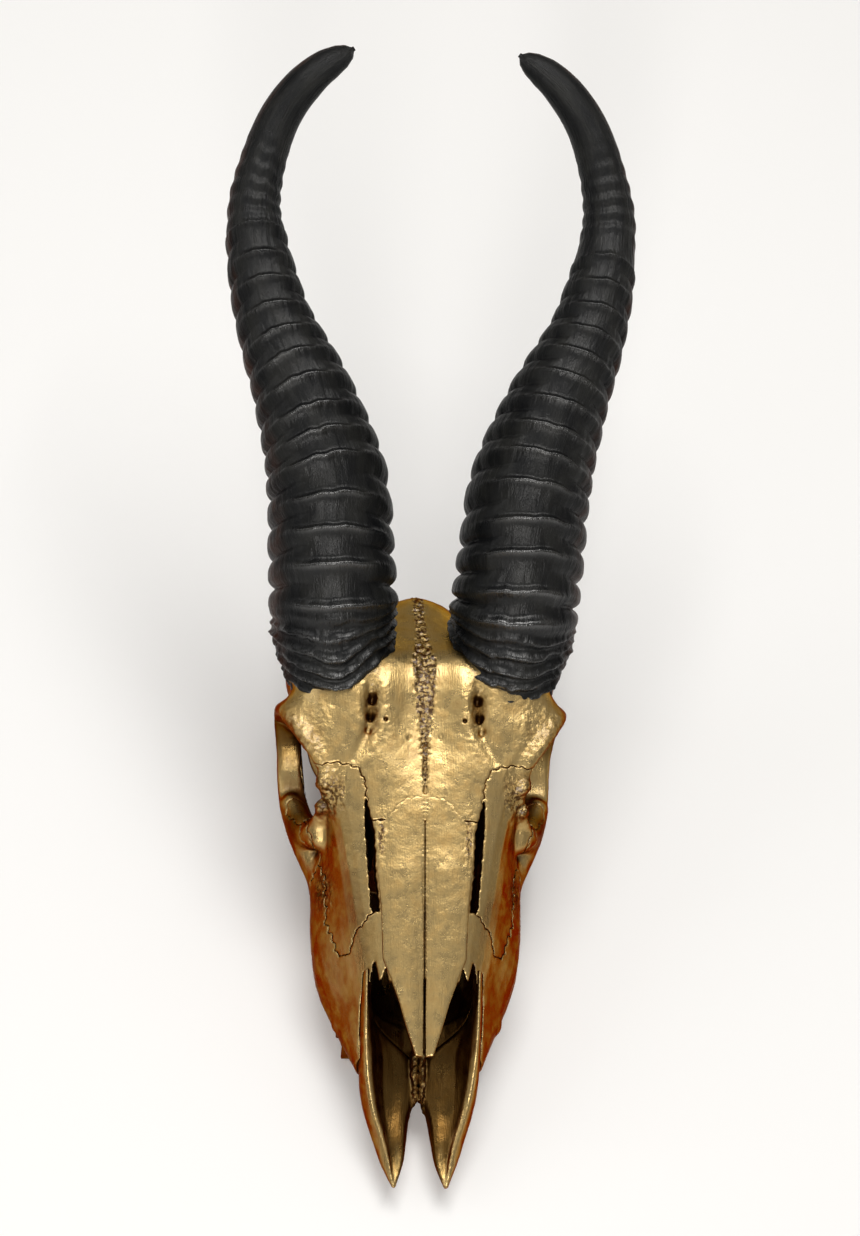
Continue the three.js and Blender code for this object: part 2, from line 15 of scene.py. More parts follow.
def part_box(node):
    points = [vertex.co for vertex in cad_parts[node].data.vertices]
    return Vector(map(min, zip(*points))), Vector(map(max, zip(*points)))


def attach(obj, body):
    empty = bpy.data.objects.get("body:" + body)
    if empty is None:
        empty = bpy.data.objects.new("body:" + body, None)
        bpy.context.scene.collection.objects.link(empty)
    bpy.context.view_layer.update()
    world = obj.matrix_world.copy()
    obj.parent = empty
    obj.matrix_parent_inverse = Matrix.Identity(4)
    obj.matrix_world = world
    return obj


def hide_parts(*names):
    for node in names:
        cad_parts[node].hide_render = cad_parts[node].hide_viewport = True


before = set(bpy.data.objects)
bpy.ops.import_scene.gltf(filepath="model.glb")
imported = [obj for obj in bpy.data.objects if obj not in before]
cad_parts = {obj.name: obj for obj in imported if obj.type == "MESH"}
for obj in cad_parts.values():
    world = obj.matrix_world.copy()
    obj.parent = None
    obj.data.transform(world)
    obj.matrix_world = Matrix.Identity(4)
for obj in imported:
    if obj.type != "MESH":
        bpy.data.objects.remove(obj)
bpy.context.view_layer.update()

# Grid of the distance field, in millimetres: the left half, with a few nodes past the middle plane
STEP = 0.48
FAR = 99.0
MIDDLE = 2
MARGIN, HALF_WIDTH, LENGTH, HEIGHT = 3, 51, 206, 91
X = (np.arange(-MIDDLE, int(HALF_WIDTH / STEP)) * STEP).astype(np.float32)
Y = np.arange(-MARGIN, LENGTH, STEP).astype(np.float32)
Z = np.arange(-MARGIN, HEIGHT, STEP).astype(np.float32)

# Where the muzzle's tip is in these shapes, and from there their shift to the model's frame
MUZZLE_Y = 0.4
muzzle_low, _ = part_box("premaxilla_left")
SHIFT_Y = muzzle_low[1] * 1000 - MUZZLE_Y

# Face plane: it slopes up from the muzzle through the nasion
FACE_SLOPE = math.radians(23)
NASION_Y, NASION_Z = 112.0, 69.5
FACE_RISE = NASION_Z - NASION_Y * math.tan(FACE_SLOPE)

# Points along a body's edges and between two corners of its sections, and how far these may bulge
TRACK_POINTS = 240
SECTION_STEPS = 3
SECTION_BULGE = 2

# How far a prism on the face reaches forward for each millimetre of its height
PRISM_LEAN = 0.4

# Smoothing of a surface: each pull inwards is followed by a slightly stronger one outwards
RELAX_PULLS = (0.6, -0.62) * 4

# Distances at which the room in front of a surface is tried, and what each counts
OCCLUSION = ((1.5, 0.3), (4, 0.35), (9, 0.35))


# Curves


def centripetal(points, closed=False):
    """A function that gives points on a centripetal Catmull-Rom curve for shares from 0 to 1."""
    pts = np.array(points, float)
    count = len(pts)

    def at(shares):
        shares = np.asarray(shares, float)
        place = shares * (count if closed else count - 1)
        index = np.floor(place).astype(int)
        if not closed:
            index = np.clip(index, 0, count - 2)
        weight = (place - index)[..., None]
        if closed:
            p0, p1, p2, p3 = (pts[(index + k) % count] for k in (-1, 0, 1, 2))
        else:
            p1, p2 = pts[index], pts[index + 1]
            p0 = np.where((index > 0)[..., None], pts[np.maximum(index - 1, 0)], 2 * pts[0] - pts[1])
            last = (index < count - 2)[..., None]
            p3 = np.where(last, pts[np.minimum(index + 2, count - 1)], 2 * pts[-1] - pts[-2])

        def gap(a, b):
            return np.maximum(np.linalg.norm(b - a, axis=-1, keepdims=True), 1e-6) ** 0.5

        d0, d1, d2 = gap(p0, p1), gap(p1, p2), gap(p2, p3)
        t1 = ((p1 - p0) / d0 - (p2 - p0) / (d0 + d1) + (p2 - p1) / d1) * d1
        t2 = ((p2 - p1) / d1 - (p3 - p1) / (d1 + d2) + (p3 - p2) / d2) * d1
        c2 = -3 * p1 + 3 * p2 - 2 * t1 - t2
        c3 = 2 * p1 - 2 * p2 + t1 + t2
        return p1 + t1 * weight + c2 * weight**2 + c3 * weight**3

    return at


def between(part, corner):
    """The mean of the values at a cell's eight corners, weighted by where in the cell each point is."""
    total = 0
    for bits in np.ndindex(2, 2, 2):
        weight = 1
        for axis, bit in enumerate(bits):
            weight = weight * (part[:, axis] if bit else 1 - part[:, axis])
        total = total + weight * corner(*bits)
    return total


def value_noise(points, size, seed):
    """Smooth noise from -1 to 1 at points (n, 3), with bumps about as wide as size."""
    scaled = np.asarray(points, np.float64) / size
    cell = np.floor(scaled).astype(np.int64)
    part = scaled - cell
    part = part * part * (3 - 2 * part)

    def corner(dx, dy, dz):
        h = (cell[:, 0] + dx) * 374761393 + (cell[:, 1] + dy) * 668265263 + (cell[:, 2] + dz) * 2147483647
        h = (h + seed * 974711) & 0xFFFFFFFF
        h = ((h ^ (h >> 13)) * 1274126177) & 0xFFFFFFFF
        h = h ^ (h >> 16)
        return (h & 0xFFFF) / 32767.5 - 1

    return between(part, corner)


def rise(value, low, high):
    """A share that goes from 0 at low to 1 at high, which may be the smaller one."""
    return np.clip((value - low) / (high - low), 0, 1)


def bell(value, middle, reach):
    """A soft bump that is 1 at its middle."""
    return np.exp(-(((value - middle) / reach) ** 2))


# The distance field: a part of the grid, and shapes that are added to it or cut out of it


class Block:
    """A box of the grid with its coordinates and distances."""

    def __init__(self, low, high):
        self.cut = tuple(
            slice(
                max(int(np.searchsorted(axis, a)) - 1, 0),
                min(int(np.searchsorted(axis, b)) + 1, len(axis)),
            )
            for axis, a, b in zip((X, Y, Z), low, high)
        )
        self.x = np.abs(X[self.cut[0]])[:, None, None]
        self.y = Y[self.cut[1]][None, :, None]
        self.z = Z[self.cut[2]][None, None, :]
        self.along = self.y * math.cos(FACE_SLOPE) + (self.z - FACE_RISE) * math.sin(FACE_SLOPE)
        self.above = (self.z - FACE_RISE) * math.cos(FACE_SLOPE) - self.y * math.sin(FACE_SLOPE)


def smooth_min(a, b, blend):
    """The smaller of two distances, rounded off where they are nearly alike."""
    if blend <= 0:
        return np.minimum(a, b)
    h = np.clip(0.5 + 0.5 * (b - a) / blend, 0, 1)
    return b + (a - b) * h - blend * h * (1 - h)


class Field:
    """Distances over the whole half grid, negative inside."""

    def __init__(self):
        self.d = np.full((len(X), len(Y), len(Z)), FAR, np.float32)

    def reached(self, shape, blend):
        """The part of the grid that a shape reaches, and the shape's own distances there."""
        low, high, distance = shape
        margin = blend + 2 * STEP
        block = Block([a - margin for a in low], [b + margin for b in high])
        return self.d[block.cut], distance(block)

    def add(self, shape, blend=0.0):
        part, distances = self.reached(shape, blend)
        part[...] = smooth_min(part, distances, blend)
        return self

    def cut(self, shape, blend=0.0):
        part, distances = self.reached(shape, blend)
        part[...] = -smooth_min(-part, distances, blend)
        return self


def ellipsoid(centre, radii, pitch=0.0):
    """An ellipsoid, pitched nose up by an angle in degrees."""
    reach = max(radii)
    c, s = math.cos(math.radians(pitch)), math.sin(math.radians(pitch))

    def distance(b):
        dy, dz = b.y - centre[1], b.z - centre[2]
        u, v = dy * c + dz * s, dz * c - dy * s
        q = np.sqrt(((b.x - centre[0]) / radii[0]) ** 2 + (u / radii[1]) ** 2 + (v / radii[2]) ** 2)
        return (q - 1) * min(radii)

    return [c0 - reach for c0 in centre], [c0 + reach for c0 in centre], distance


def bar(knots, up=(0, 0, 1), closed=False, steps=4):
    """A bar along a smooth line through knots (x, y, z, half width across, half height along up)."""
    knots = np.array(knots, float)
    count = len(knots)
    spans = count if closed else count - 1
    shares = np.linspace(0, 1, spans * steps + 1)
    line = centripetal(knots[:, :3], closed)(shares if not closed else shares % 1.0)
    place = shares * spans
    wrapped = np.vstack([knots, knots[:1]]) if closed else knots
    across = np.interp(place, range(len(wrapped)), wrapped[:, 3])
    tall = np.interp(place, range(len(wrapped)), wrapped[:, 4])
    up = np.array(up, float) / np.linalg.norm(up)
    reach = max(across.max(), tall.max())

    def distance(b):
        best = None
        for i in range(len(line) - 1):
            a, e = line[i], line[i + 1]
            run = e - a
            t = ((b.x - a[0]) * run[0] + (b.y - a[1]) * run[1] + (b.z - a[2]) * run[2]) / max(run @ run, 1e-9)
            t = np.clip(t, 0, 1)
            dx = b.x - (a[0] + t * run[0])
            dy = b.y - (a[1] + t * run[1])
            dz = b.z - (a[2] + t * run[2])
            ra = across[i] + (across[i + 1] - across[i]) * t
            rt = tall[i] + (tall[i + 1] - tall[i]) * t
            high = dx * up[0] + dy * up[1] + dz * up[2]
            square = dx * dx + dy * dy + dz * dz - high * high
            q = np.sqrt(np.maximum(square, 0) / (ra * ra) + (high / rt) ** 2)
            d = (q - 1) * np.minimum(ra, rt)
            best = d if best is None else np.minimum(best, d)
        return best

    return list(line.min(0) - reach), list(line.max(0) + reach), distance


def outline_distance(px, pz, outline, closed):
    """Signed distance from points to an outline, negative inside.

    A half outline, which isn't closed, ends at the middle plane.
    """
    best = np.full(np.broadcast(px, pz).shape, 1e9, np.float32)
    inside = np.zeros(best.shape, bool)
    count = len(outline)
    for i in range(count if closed else count - 1):
        ax, az = outline[i]
        bx, bz = outline[(i + 1) % count]
        ex, ez = bx - ax, bz - az
        wx, wz = px - ax, pz - az
        t = np.clip((wx * ex + wz * ez) / max(ex * ex + ez * ez, 1e-9), 0, 1)
        best = np.minimum(best, (wx - t * ex) ** 2 + (wz - t * ez) ** 2)
        if az != bz:
            inside ^= ((az > pz) != (bz > pz)) & (px < ex * (pz - az) / ez + ax)
    best = np.sqrt(best)
    return np.where(inside, -best, best)


def sections(stations, half=True):
    """A body through cross-sections [y, (x, z), ...] that stand across y. Half ones end at the middle."""
    ys = np.array([s[0] for s in stations], float)
    corners = np.array([[list(c) for c in s[1:]] for s in stations], float)
    lines = np.moveaxis(corners, 1, 0)
    tracks = [centripetal(np.column_stack([line[:, 0], ys, line[:, 1]])) for line in lines]
    shares = np.linspace(0, 1, TRACK_POINTS)
    paths = [track(shares) for track in tracks]

    def distance(b):
        levels = b.y.ravel()
        px, pz = b.x[:, 0, :], b.z[0]
        out = np.empty((b.x.shape[0], len(levels), b.z.shape[2]), np.float32)
        for j, y in enumerate(levels):
            at = np.clip(y, ys[0], ys[-1])
            ring = [(np.interp(at, p[:, 1], p[:, 0]), np.interp(at, p[:, 1], p[:, 2])) for p in paths]
            if half:
                whole = ring + [(-x, z) for x, z in ring[-2:0:-1]]
                smooth = centripetal(np.column_stack([whole, np.zeros(len(whole))]), True)
                span = len(ring) - 1
                pts = smooth(np.linspace(0, span / len(whole), span * SECTION_STEPS + 1))[:, :2]
            else:
                smooth = centripetal(np.column_stack([ring, np.zeros(len(ring))]), True)
                count = len(ring) * SECTION_STEPS
                pts = smooth(np.arange(count) / count)[:, :2]
            flat = outline_distance(px, pz, pts, closed=not half)
            ends = max(ys[0] - y, y - ys[-1])
            out[:, j] = np.maximum(flat, ends) if ends < 0 else np.hypot(np.maximum(flat, 0), ends)
        return out

    low = [-2 * STEP, ys[0], corners[..., 1].min() - SECTION_BULGE]
    high = [corners[..., 0].max() + SECTION_BULGE, ys[-1], corners[..., 1].max() + SECTION_BULGE]
    return low, high, distance


def wiggle(a, b, size):
    """A small irregular wave for the edges of the bones."""
    slow = np.sin(a * 1.9 + 0.6 * np.sin(b * 1.3))
    crossing = 0.7 * np.sin(b * 3.7 + a * 0.9)
    quick = 0.5 * np.sin(a * 5.1)
    return size * (slow + crossing + quick)


def face_prism(outline, span, wave=0.0, calm=0.0):
    """A prism square to the face. Its outline is (x, distance along the face), its span is heights above it.

    The edges waver by wave, except at the middle plane and in front of the distance calm.
    """
    low, high = span
    pts = np.array(outline, float)
    back = pts[:, 1] * math.cos(FACE_SLOPE)
    base = FACE_RISE + pts[:, 1] * math.sin(FACE_SLOPE)
    box_low = [pts[:, 0].min() - 2, back.min() - high * PRISM_LEAN - 3, base.min() + low - 4]
    box_high = [pts[:, 0].max() + 2, back.max() - low * PRISM_LEAN + 3, base.max() + high + 4]

    def distance(b):
        swing = wave * rise(b.x, 0.4, 2.4) * rise(b.along, calm, calm + 4)
        x = b.x + wiggle(b.along, b.x, swing)
        u = b.along + wiggle(b.x, b.along, swing)
        flat = outline_distance(x, u, pts, closed=True)
        return np.maximum(flat, np.maximum(low - b.above, b.above - high))

    return box_low, box_high, distance


def side_prism(outline, near, wave):
    """A prism across x on an outline (y, z) that wavers by wave, everything farther out than near.

    near is a number or a function of y.
    """
    pts = np.array(outline, float)

    def distance(b):
        y = b.y + wiggle(b.z, b.y, wave)
        z = b.z + wiggle(b.y, b.z, wave)
        flat = outline_distance(y, z, pts, closed=True)
        inner = near(b.y) if callable(near) else near
        return np.maximum(flat, inner - b.x)

    low = [0, pts[:, 0].min() - 3, pts[:, 1].min() - 3]
    high = [HALF_WIDTH + 1, pts[:, 0].max() + 3, pts[:, 1].max() + 3]
    return low, high, distance


def plan_prism(outline, low, high):
    """An upright prism on an outline (x, y)."""
    pts = np.array(outline, float)

    def distance(b):
        flat = outline_distance(b.x[:, :, 0], b.y[:, :, 0] + 0 * b.x[:, :, 0], pts, closed=True)
        return np.maximum(flat[:, :, None], np.maximum(low - b.z, b.z - high))

    return [*pts.min(0), low], [*pts.max(0), high], distance


# Polygons from the field


def surface(d, origin):
    """Vertices and quads of the surface where d is zero, by averaging the crossings of each cell."""
    d = np.pad(d, 1, constant_values=FAR)
    inside = d < 0
    count = sum(
        inside[i : i + d.shape[0] - 1, j : j + d.shape[1] - 1, k : k + d.shape[2] - 1].astype(np.int8)
        for i in (0, 1)
        for j in (0, 1)
        for k in (0, 1)
    )
    cells = np.nonzero((count > 0) & (count < 8))
    number = np.full(count.shape, -1, np.int32)
    number[cells] = np.arange(len(cells[0]))
    base = np.stack(cells, 1)
    total = np.zeros((len(base), 3))
    hits = np.zeros((len(base), 1))
    for axis in range(3):
        others = [a for a in range(3) if a != axis]
        for first in (0, 1):
            for second in (0, 1):
                start = base.copy()
                start[:, others[0]] += first
                start[:, others[1]] += second
                end = start.copy()
                end[:, axis] += 1
                a, b = d[tuple(start.T)], d[tuple(end.T)]
                crossed = (a < 0) != (b < 0)
                t = np.where(crossed, a / np.where(crossed, a - b, 1), 0)
                point = start.astype(float)
                point[:, axis] += t
                total += point * crossed[:, None]
                hits += crossed[:, None]
    verts = (total / hits - 1) * STEP + np.array(origin)
    quads = []
    for axis in range(3):
        a = np.moveaxis(inside, axis, 0)
        n = np.moveaxis(number, axis, 0)
        change = a[:-1, 1:-1, 1:-1] != a[1:, 1:-1, 1:-1]
        i, j, k = np.nonzero(change)
        ring = np.stack([n[i, j, k], n[i, j + 1, k], n[i, j + 1, k + 1], n[i, j, k + 1]], 1)
        outward = a[i, j + 1, k + 1]
        if axis == 1:
            outward = ~outward
        ring[~outward] = ring[~outward][:, ::-1]
        quads.append(ring)
    return verts, np.concatenate(quads)


def relax(verts, quads):
    """Smooth the grid's steps out of a surface, and push it back out so that it doesn't shrink."""
    ahead = np.roll(quads, -1, axis=1).ravel()
    near = np.concatenate([quads.ravel(), ahead])
    other = np.concatenate([ahead, quads.ravel()])
    count = np.bincount(near, minlength=len(verts))[:, None]
    for pull in RELAX_PULLS:
        mean = np.stack([np.bincount(near, verts[other, k], len(verts)) for k in range(3)], 1) / count
        verts = verts + pull * (mean - verts)
    return verts


def sample(field, points):
    """The field's values at points (n, 3), read between grid nodes. Both sides read the left half."""
    places = (np.abs(points[:, 0]) - X[0], points[:, 1] - Y[0], points[:, 2] - Z[0])
    at = np.stack(places, 1) / STEP
    at = np.clip(at, 0, np.array(field.shape) - 1.001)
    cell = at.astype(int)
    return between(at - cell, lambda dx, dy, dz: field[cell[:, 0] + dx, cell[:, 1] + dy, cell[:, 2] + dz])


# Shapes of the skull, in millimetres, on the left side. A body is rows of [y, (x, z), ...], and a bar is
# rows of (x, y, z, half width, half height). An ellipsoid is its centre and its radii
FACE = [
    [39, (0, 37), (8, 36.5), (14.5, 32), (19, 26), (21, 20.5), (18, 12), (11, 12.5), (0, 13.5)],
    [55, (0, 46.5), (11, 46), (17.5, 41.5), (22.8, 32), (26.8, 22), (26, 12.5), (14, 12), (0, 15.5)],
    [70, (0, 53), (13, 52.3), (20.5, 47.5), (27, 37), (32.5, 26), (30.8, 12), (16, 12.5), (0, 17.5)],
    [86, (0, 59.5), (14.5, 59), (23.5, 54.5), (29.5, 42), (34.8, 27), (31.5, 12), (17, 13.5), (0, 19.5)],
    [100, (0, 65), (16, 64.5), (26, 60), (30.5, 47), (34, 32), (30.5, 15), (18, 15), (0, 21)],
    [112, (0, 69.5), (18, 69), (29, 64.5), (31.5, 52), (32, 37), (28, 20), (17, 17), (0, 22.5)],
    [124, (0, 73), (20, 73), (31, 69), (31, 56), (28, 40), (22, 27), (14, 22), (0, 25)],
]
CRANIUM = [
    [108, (0, 67), (14, 67), (27, 63), (30, 58), (28, 48), (18, 38), (9, 30), (0, 26)],
    [118, (0, 71.5), (15, 72), (30, 69), (34, 64), (29, 52), (15, 40), (8, 30), (0, 26)],
    [128, (0, 75), (16, 76), (36, 73), (39.5, 68.5), (28, 56), (13, 40), (8, 30), (0, 26)],
    [138, (0, 78.5), (17, 80.5), (40, 76), (44.5, 71), (30, 57), (15, 40), (9, 29), (0, 25)],
    [146, (0, 81), (18, 83.5), (40, 77), (45.5, 70.5), (33, 56), (22, 40), (12, 28), (0, 25)],
    [156, (0, 82), (17, 84), (34, 76), (36, 62), (29, 50), (25, 36), (14, 26), (0, 24)],
    [168, (0, 78), (14, 77), (27, 69), (30, 56), (30, 44), (26, 32), (14, 25), (0, 23)],
    [180, (0, 73.5), (12, 70.5), (23, 61), (30, 49), (31, 40), (27, 30), (14, 24), (0, 22)],
    [190, (0, 69), (9, 65), (18, 54), (26, 44), (27, 37), (23, 28), (13, 23), (0, 22)],
    [196, (0, 59), (7, 55), (13, 47), (17, 40), (18, 34), (15, 27), (10, 23), (0, 22)],
]
ORBIT_RIM = [
    (31.5, 121, 66.5, 2.5, 3),
    (39, 131, 72.5, 2.6, 2.6),
    (44.5, 142.5, 70.5, 2.6, 3.2),
    (44.5, 149, 58, 3, 3.6),
    (42.6, 147, 44, 3.9, 4),
    (40.5, 133, 36, 5, 4),
    (37.6, 117, 37.5, 4.4, 4),
    (35, 111, 44, 3, 4),
    (33, 113, 54, 3, 3.5),
]
ORBIT = ((46, 129.5, 54), (25, 18.5, 17.5))
ARCH = [
    (28, 90, 26, 4, 7),
    (32, 103, 30, 4, 6.5),
    (38, 116, 34.5, 4, 5),
    (42, 133, 35, 3.2, 4.5),
    (42, 149, 38, 2.6, 4.5),
    (38.5, 163, 40, 2.6, 4),
    (33, 176, 41, 3.2, 4.5),
    (27, 183, 41, 4, 5),
]
BASE_BEAM = [
    [104, (0, 30), (8, 30), (10, 24), (0, 21)],
    [130, (0, 31), (8, 31), (7, 23), (0, 21)],
    [165, (0, 34), (12, 32), (11, 21), (0, 18)],
    [198, (0, 34), (13, 32), (12, 23), (0, 21)],
]
PAROCCIPITAL = [
    (25.5, 184, 38, 4, 8),
    (25, 186, 24, 3.4, 7),
    (23, 186.5, 11, 2.8, 5.5),
    (21.5, 186, -2, 2.4, 4.4),
]
PTERYGOID = [(14, 106, 20, 3, 5), (11, 122, 20, 1.8, 7), (9.5, 136, 20, 1.6, 8), (9, 150, 23, 1.6, 5)]
BULLA = ((15.5, 172, 21), (7, 12, 9))
CONDYLE = ((10, 194, 31), (6.5, 6, 9))
PEDICLE = [(22, 142, 48, 15, 15), (27.8, 158.4, 67.6, 17, 17.8), (28.6, 161.2, 71, 16.6, 17.4)]
NOSE_OPEN = [
    [30, (0, 90), (15, 90), (16, 26), (11, 15), (0, 13)],
    [42, (0, 90), (16.5, 90), (17.3, 32), (12, 21.5), (0, 15)],
    [56, (0, 90), (16, 90), (17.6, 39), (12.4, 26.5), (0, 18.5)],
]
NOSE_ROOFED = [
    [54, (0, 43), (13, 42), (17.6, 37), (12.6, 24), (0, 18.5)],
    [72, (0, 49.5), (14, 48.5), (19, 38), (16, 23), (0, 21)],
    [100, (0, 58), (15, 57), (19, 45), (16, 28), (0, 26)],
]

# Outlines on the face are (x, distance along it), with their spans of heights above it
FISSURE = [
    (19.6, 121.4), (18.2, 116), (16.4, 109), (16, 96), (14.6, 83.5), (17.2, 83.5),
    (18.6, 100), (19.4, 110),
]
FISSURE_SPAN = (-22, 12)
FISSURE_WAVE = 0.12
NASAL = [
    (0.3, 36.5), (3, 37), (5.2, 44), (8.2, 54), (11.2, 62.5), (13.6, 68), (14.2, 84),
    (15.6, 97), (15.8, 108), (13, 114), (8, 120), (5, 121.3), (0.04, 121.6), (0.04, 112),
    (0.4, 104), (0.6, 92), (0.35, 80),
]
NASAL_SPAN = (-5, 20)
NASAL_CALM = 110

# How far the bones beside the nasals run under their edges, and where their vault becomes the skull's surface
NASAL_OVERLAP = 1.0
NASAL_BLEND = (89, 97)

# The nasals' vault: y, height of its top, half width, and how much lower its edge is
NASAL_STATIONS = [
    (32, 37.6, 9, 1.6),
    (45, 43, 12, 2.2),
    (60, 49.6, 17, 2.7),
    (86, 60.2, 19, 2.7),
    (114, 70.6, 20, 2.7),
]
NOSE_NOTCH = [
    (10.8, 56), (11.6, 62), (12.5, 65.2), (13.6, 61.8), (14.4, 61.2), (16, 68),
    (17.2, 62), (17.6, 56),
]
NOTCH_SPAN = (-8, 20)
NOSE_RIDGE = [(0.4, 30.5, 14, 1.7, 2.1), (0.5, 35, 15.8, 1.9, 2.2), (0.5, 44, 18.8, 2, 2.4)]
ORBIT_FLOOR = [(41, 128, 37, 3, 3), (37.5, 117.5, 40.5, 4, 4), (33, 109, 47, 4, 4)]
PREMAXILLA = [
    [0.4, (8.7, 9.2), (9, 9.8), (8.7, 10.3), (8.3, 10.3), (7.9, 9.8), (8, 9.2)],
    [9.5, (12.1, 8.4), (12.5, 10.6), (10.3, 13), (8.8, 11), (5.6, 11.4), (5.2, 8.6)],
    [16.5, (14, 8.8), (14.9, 12.2), (12.6, 16), (9.8, 13.4), (5, 12.8), (4.2, 8.6)],
    [24, (16, 9.4), (17.3, 15.4), (15.2, 19.6), (11, 15.2), (4.2, 13.6), (3.2, 9)],
    [32, (17.2, 10.2), (19, 20.6), (16.9, 25), (11.6, 18.4), (1.8, 14.8), (0.7, 9.6)],
    [42, (17, 12.4), (19.4, 30), (17.9, 33), (12, 22.8), (1.8, 16.4), (0.7, 11.2)],
    [52, (17.6, 24), (19.8, 36), (18.2, 39.6), (16, 34), (15.6, 28), (16, 22)],
    [61, (18, 38), (19.4, 43), (18.2, 45.4), (17.2, 43), (16.8, 40), (17.2, 37)],
]

# Cheek teeth: y, x, length, width and lobes of each. Molars have two lobes and reach the table
CHEEK_TEETH = [
    (55, 20.6, 7, 6.5, 1),
    (62.6, 21.6, 7.6, 7.6, 1),
    (70.6, 22.2, 7.8, 8.6, 1),
    (80.2, 23.8, 10.8, 10.6, 2),
    (92.2, 24.8, 12.6, 11.2, 2),
    (105.4, 24.4, 13.2, 10.4, 2),
]
MOLAR_LOBES = 2
MOLAR_BOTTOM, PREMOLAR_BOTTOM, TOOTH_TOP = 0.0, 0.6, 17
CROWN_STEPS = 6
RIB_DEPTH = 0.9
INNER_DENT = 1.4
TABLE_CLEARANCE = 0.05

# Regions of the bones beside the nose, and how much their edges waver. The lacrimal's is an outline on the
# face, the others are on (y, z)
EDGE_WAVE = 0.3
MAXILLA_SIDE = [(20, -5), (114, -5), (113.5, 24), (108, 34), (104, 46), (103, 62), (112, 90), (20, 90)]
LACRIMAL = [
    (15.8, 84.5), (19.2, 122.5), (20, 127.5), (21.8, 130.2), (25, 131.6), (30, 132.2),
    (35, 131.4), (37.5, 128), (37, 112), (31, 97), (30.5, 82), (26.5, 70), (23.5, 71),
    (22, 77),
]
LACRIMAL_SPAN = (-24, 20)
ZYGOMATIC_SIDE = [
    (97, 14), (99, 30), (104, 42), (113, 46), (122, 39), (138, 41), (143, 55), (156, 55),
    (153, 44), (166, 44), (162, 34), (140, 26), (112, 22),
]

# Small features of the forehead, the cheek and the orbit: centre, radii, pitch and blend of each
HOLLOWS = [
    ((0, 133, 82.5), (11, 20, 6), 18, 4),
    ((17.7, 138.5, 82.6), (3.1, 9, 4.3), 22, 2.2),
    ((17.4, 142.2, 80.4), (1.3, 1.7, 3.4), 0, 0.6),
    ((17.9, 136.6, 78), (1.2, 1.5, 3.2), 0, 0.6),
    ((18.6, 132.2, 76.8), (0.8, 0.9, 1.4), 0, 0.5),
    ((13, 135.4, 79), (0.7, 0.8, 2), 0, 0.3),
    ((5.3, 130.4, 76.4), (0.7, 0.8, 2), 0, 0.3),
    ((31, 74, 27), (1.2, 1.6, 1.2), 0, 0.5),
]
KNOBS = [
    ((32.4, 118.4, 66.2), (3, 3.2, 3), 0, 1.2),
    ((33.2, 112.8, 58.8), (2, 2, 2.4), 0, 1),
    ((40.8, 147.5, 61), (3.6, 3.4, 9), 0, 2.5),
    ((26.2, 55.5, 18), (1.8, 3, 2.6), 0, 1.2),
]
BROW_GROOVE = [(18.4, 132, 78.4, 1.4, 1.4), (20.6, 127.5, 76.6, 1.5, 1.5), (23.4, 122.5, 74.8, 1.2, 1.2)]
FORAMEN = ((0, 200, 38), (8, 22, 8))

# The winding slot of the forehead: its box, its size, and its waves as (size, rate, start)
SLOT_LOW, SLOT_HIGH = (0, 113, 66), (4, 133, 84)
SLOT_HALF_WIDTH = 0.26
SLOT_DEPTH = 0.7
SLOT_WAVES = ((0.62, 2.3, 0), (0.4, 5.2, 1), (0.25, 0.7, 0))


def zygomatic_inner(y):
    """How far from the middle plane the zygomatic bone begins."""
    return np.interp(y, [97, 112, 125, 140, 166], [29.5, 29.5, 35, 38.5, 35])


def nasal_station(y, top, edge, drop):
    """One half cross-section of the nasals' vault, from the middle out over its edge and back below."""
    return [
        y,
        (0, top - 0.6),
        (edge * 0.3, top),
        (edge * 0.7, top - 0.7),
        (edge, top - drop),
        (edge, top - drop - 3),
        (edge * 0.6, top - 4.6),
        (0, top - 4.8),
    ]


def crown(tooth):
    """Outline of one cheek tooth from below, with ribs on its outer side."""
    y, x, length, width, lobes = tooth
    turns = np.linspace(0, 1, lobes * CROWN_STEPS + 1)
    wave = np.abs(np.cos(np.pi * turns * lobes))
    along = y - length / 2 + length * turns
    outer = np.column_stack([x + width / 2 - RIB_DEPTH * (1 - wave), along])
    inner = np.column_stack([x - width / 2 + INNER_DENT * wave, along])
    return [tuple(p) for p in np.vstack([outer, inner[::-1]])]


def part_teeth(field, y):
    """Cut the narrow gap between two cheek teeth, as a row of upright bars."""
    field.cut(bar([(12, y, -2, 0.5, 0.5), (12, y, 9, 0.4, 0.4)], steps=1), blend=0.4)
    for x in np.arange(15, 33, 0.9):
        field.cut(bar([(x, y, -2, 0.5, 0.5), (x, y, 9.5, 0.3, 0.3)], steps=1), blend=0.4)


def midline_slot(b):
    """A winding slot beside the middle of the forehead, which its mirror image turns into a chain."""
    y = b.y + 0.5 * b.z
    path = 1.0
    for size, rate, start in SLOT_WAVES:
        path = path + size * np.sin(y * rate + start)
    spread = np.interp(y, [149, 160, 170], [0.15, 0.45, 1.1])
    return np.abs(b.x - path * spread) - SLOT_HALF_WIDTH


def engrave(field, low, high, flat, depth):
    """Cut a narrow slot of a given depth into the skin of the field, where flat is negative."""
    block = Block(low, high)
    part = field.d[block.cut]
    part[...] = np.maximum(part, -np.maximum(flat(block), -part - depth))


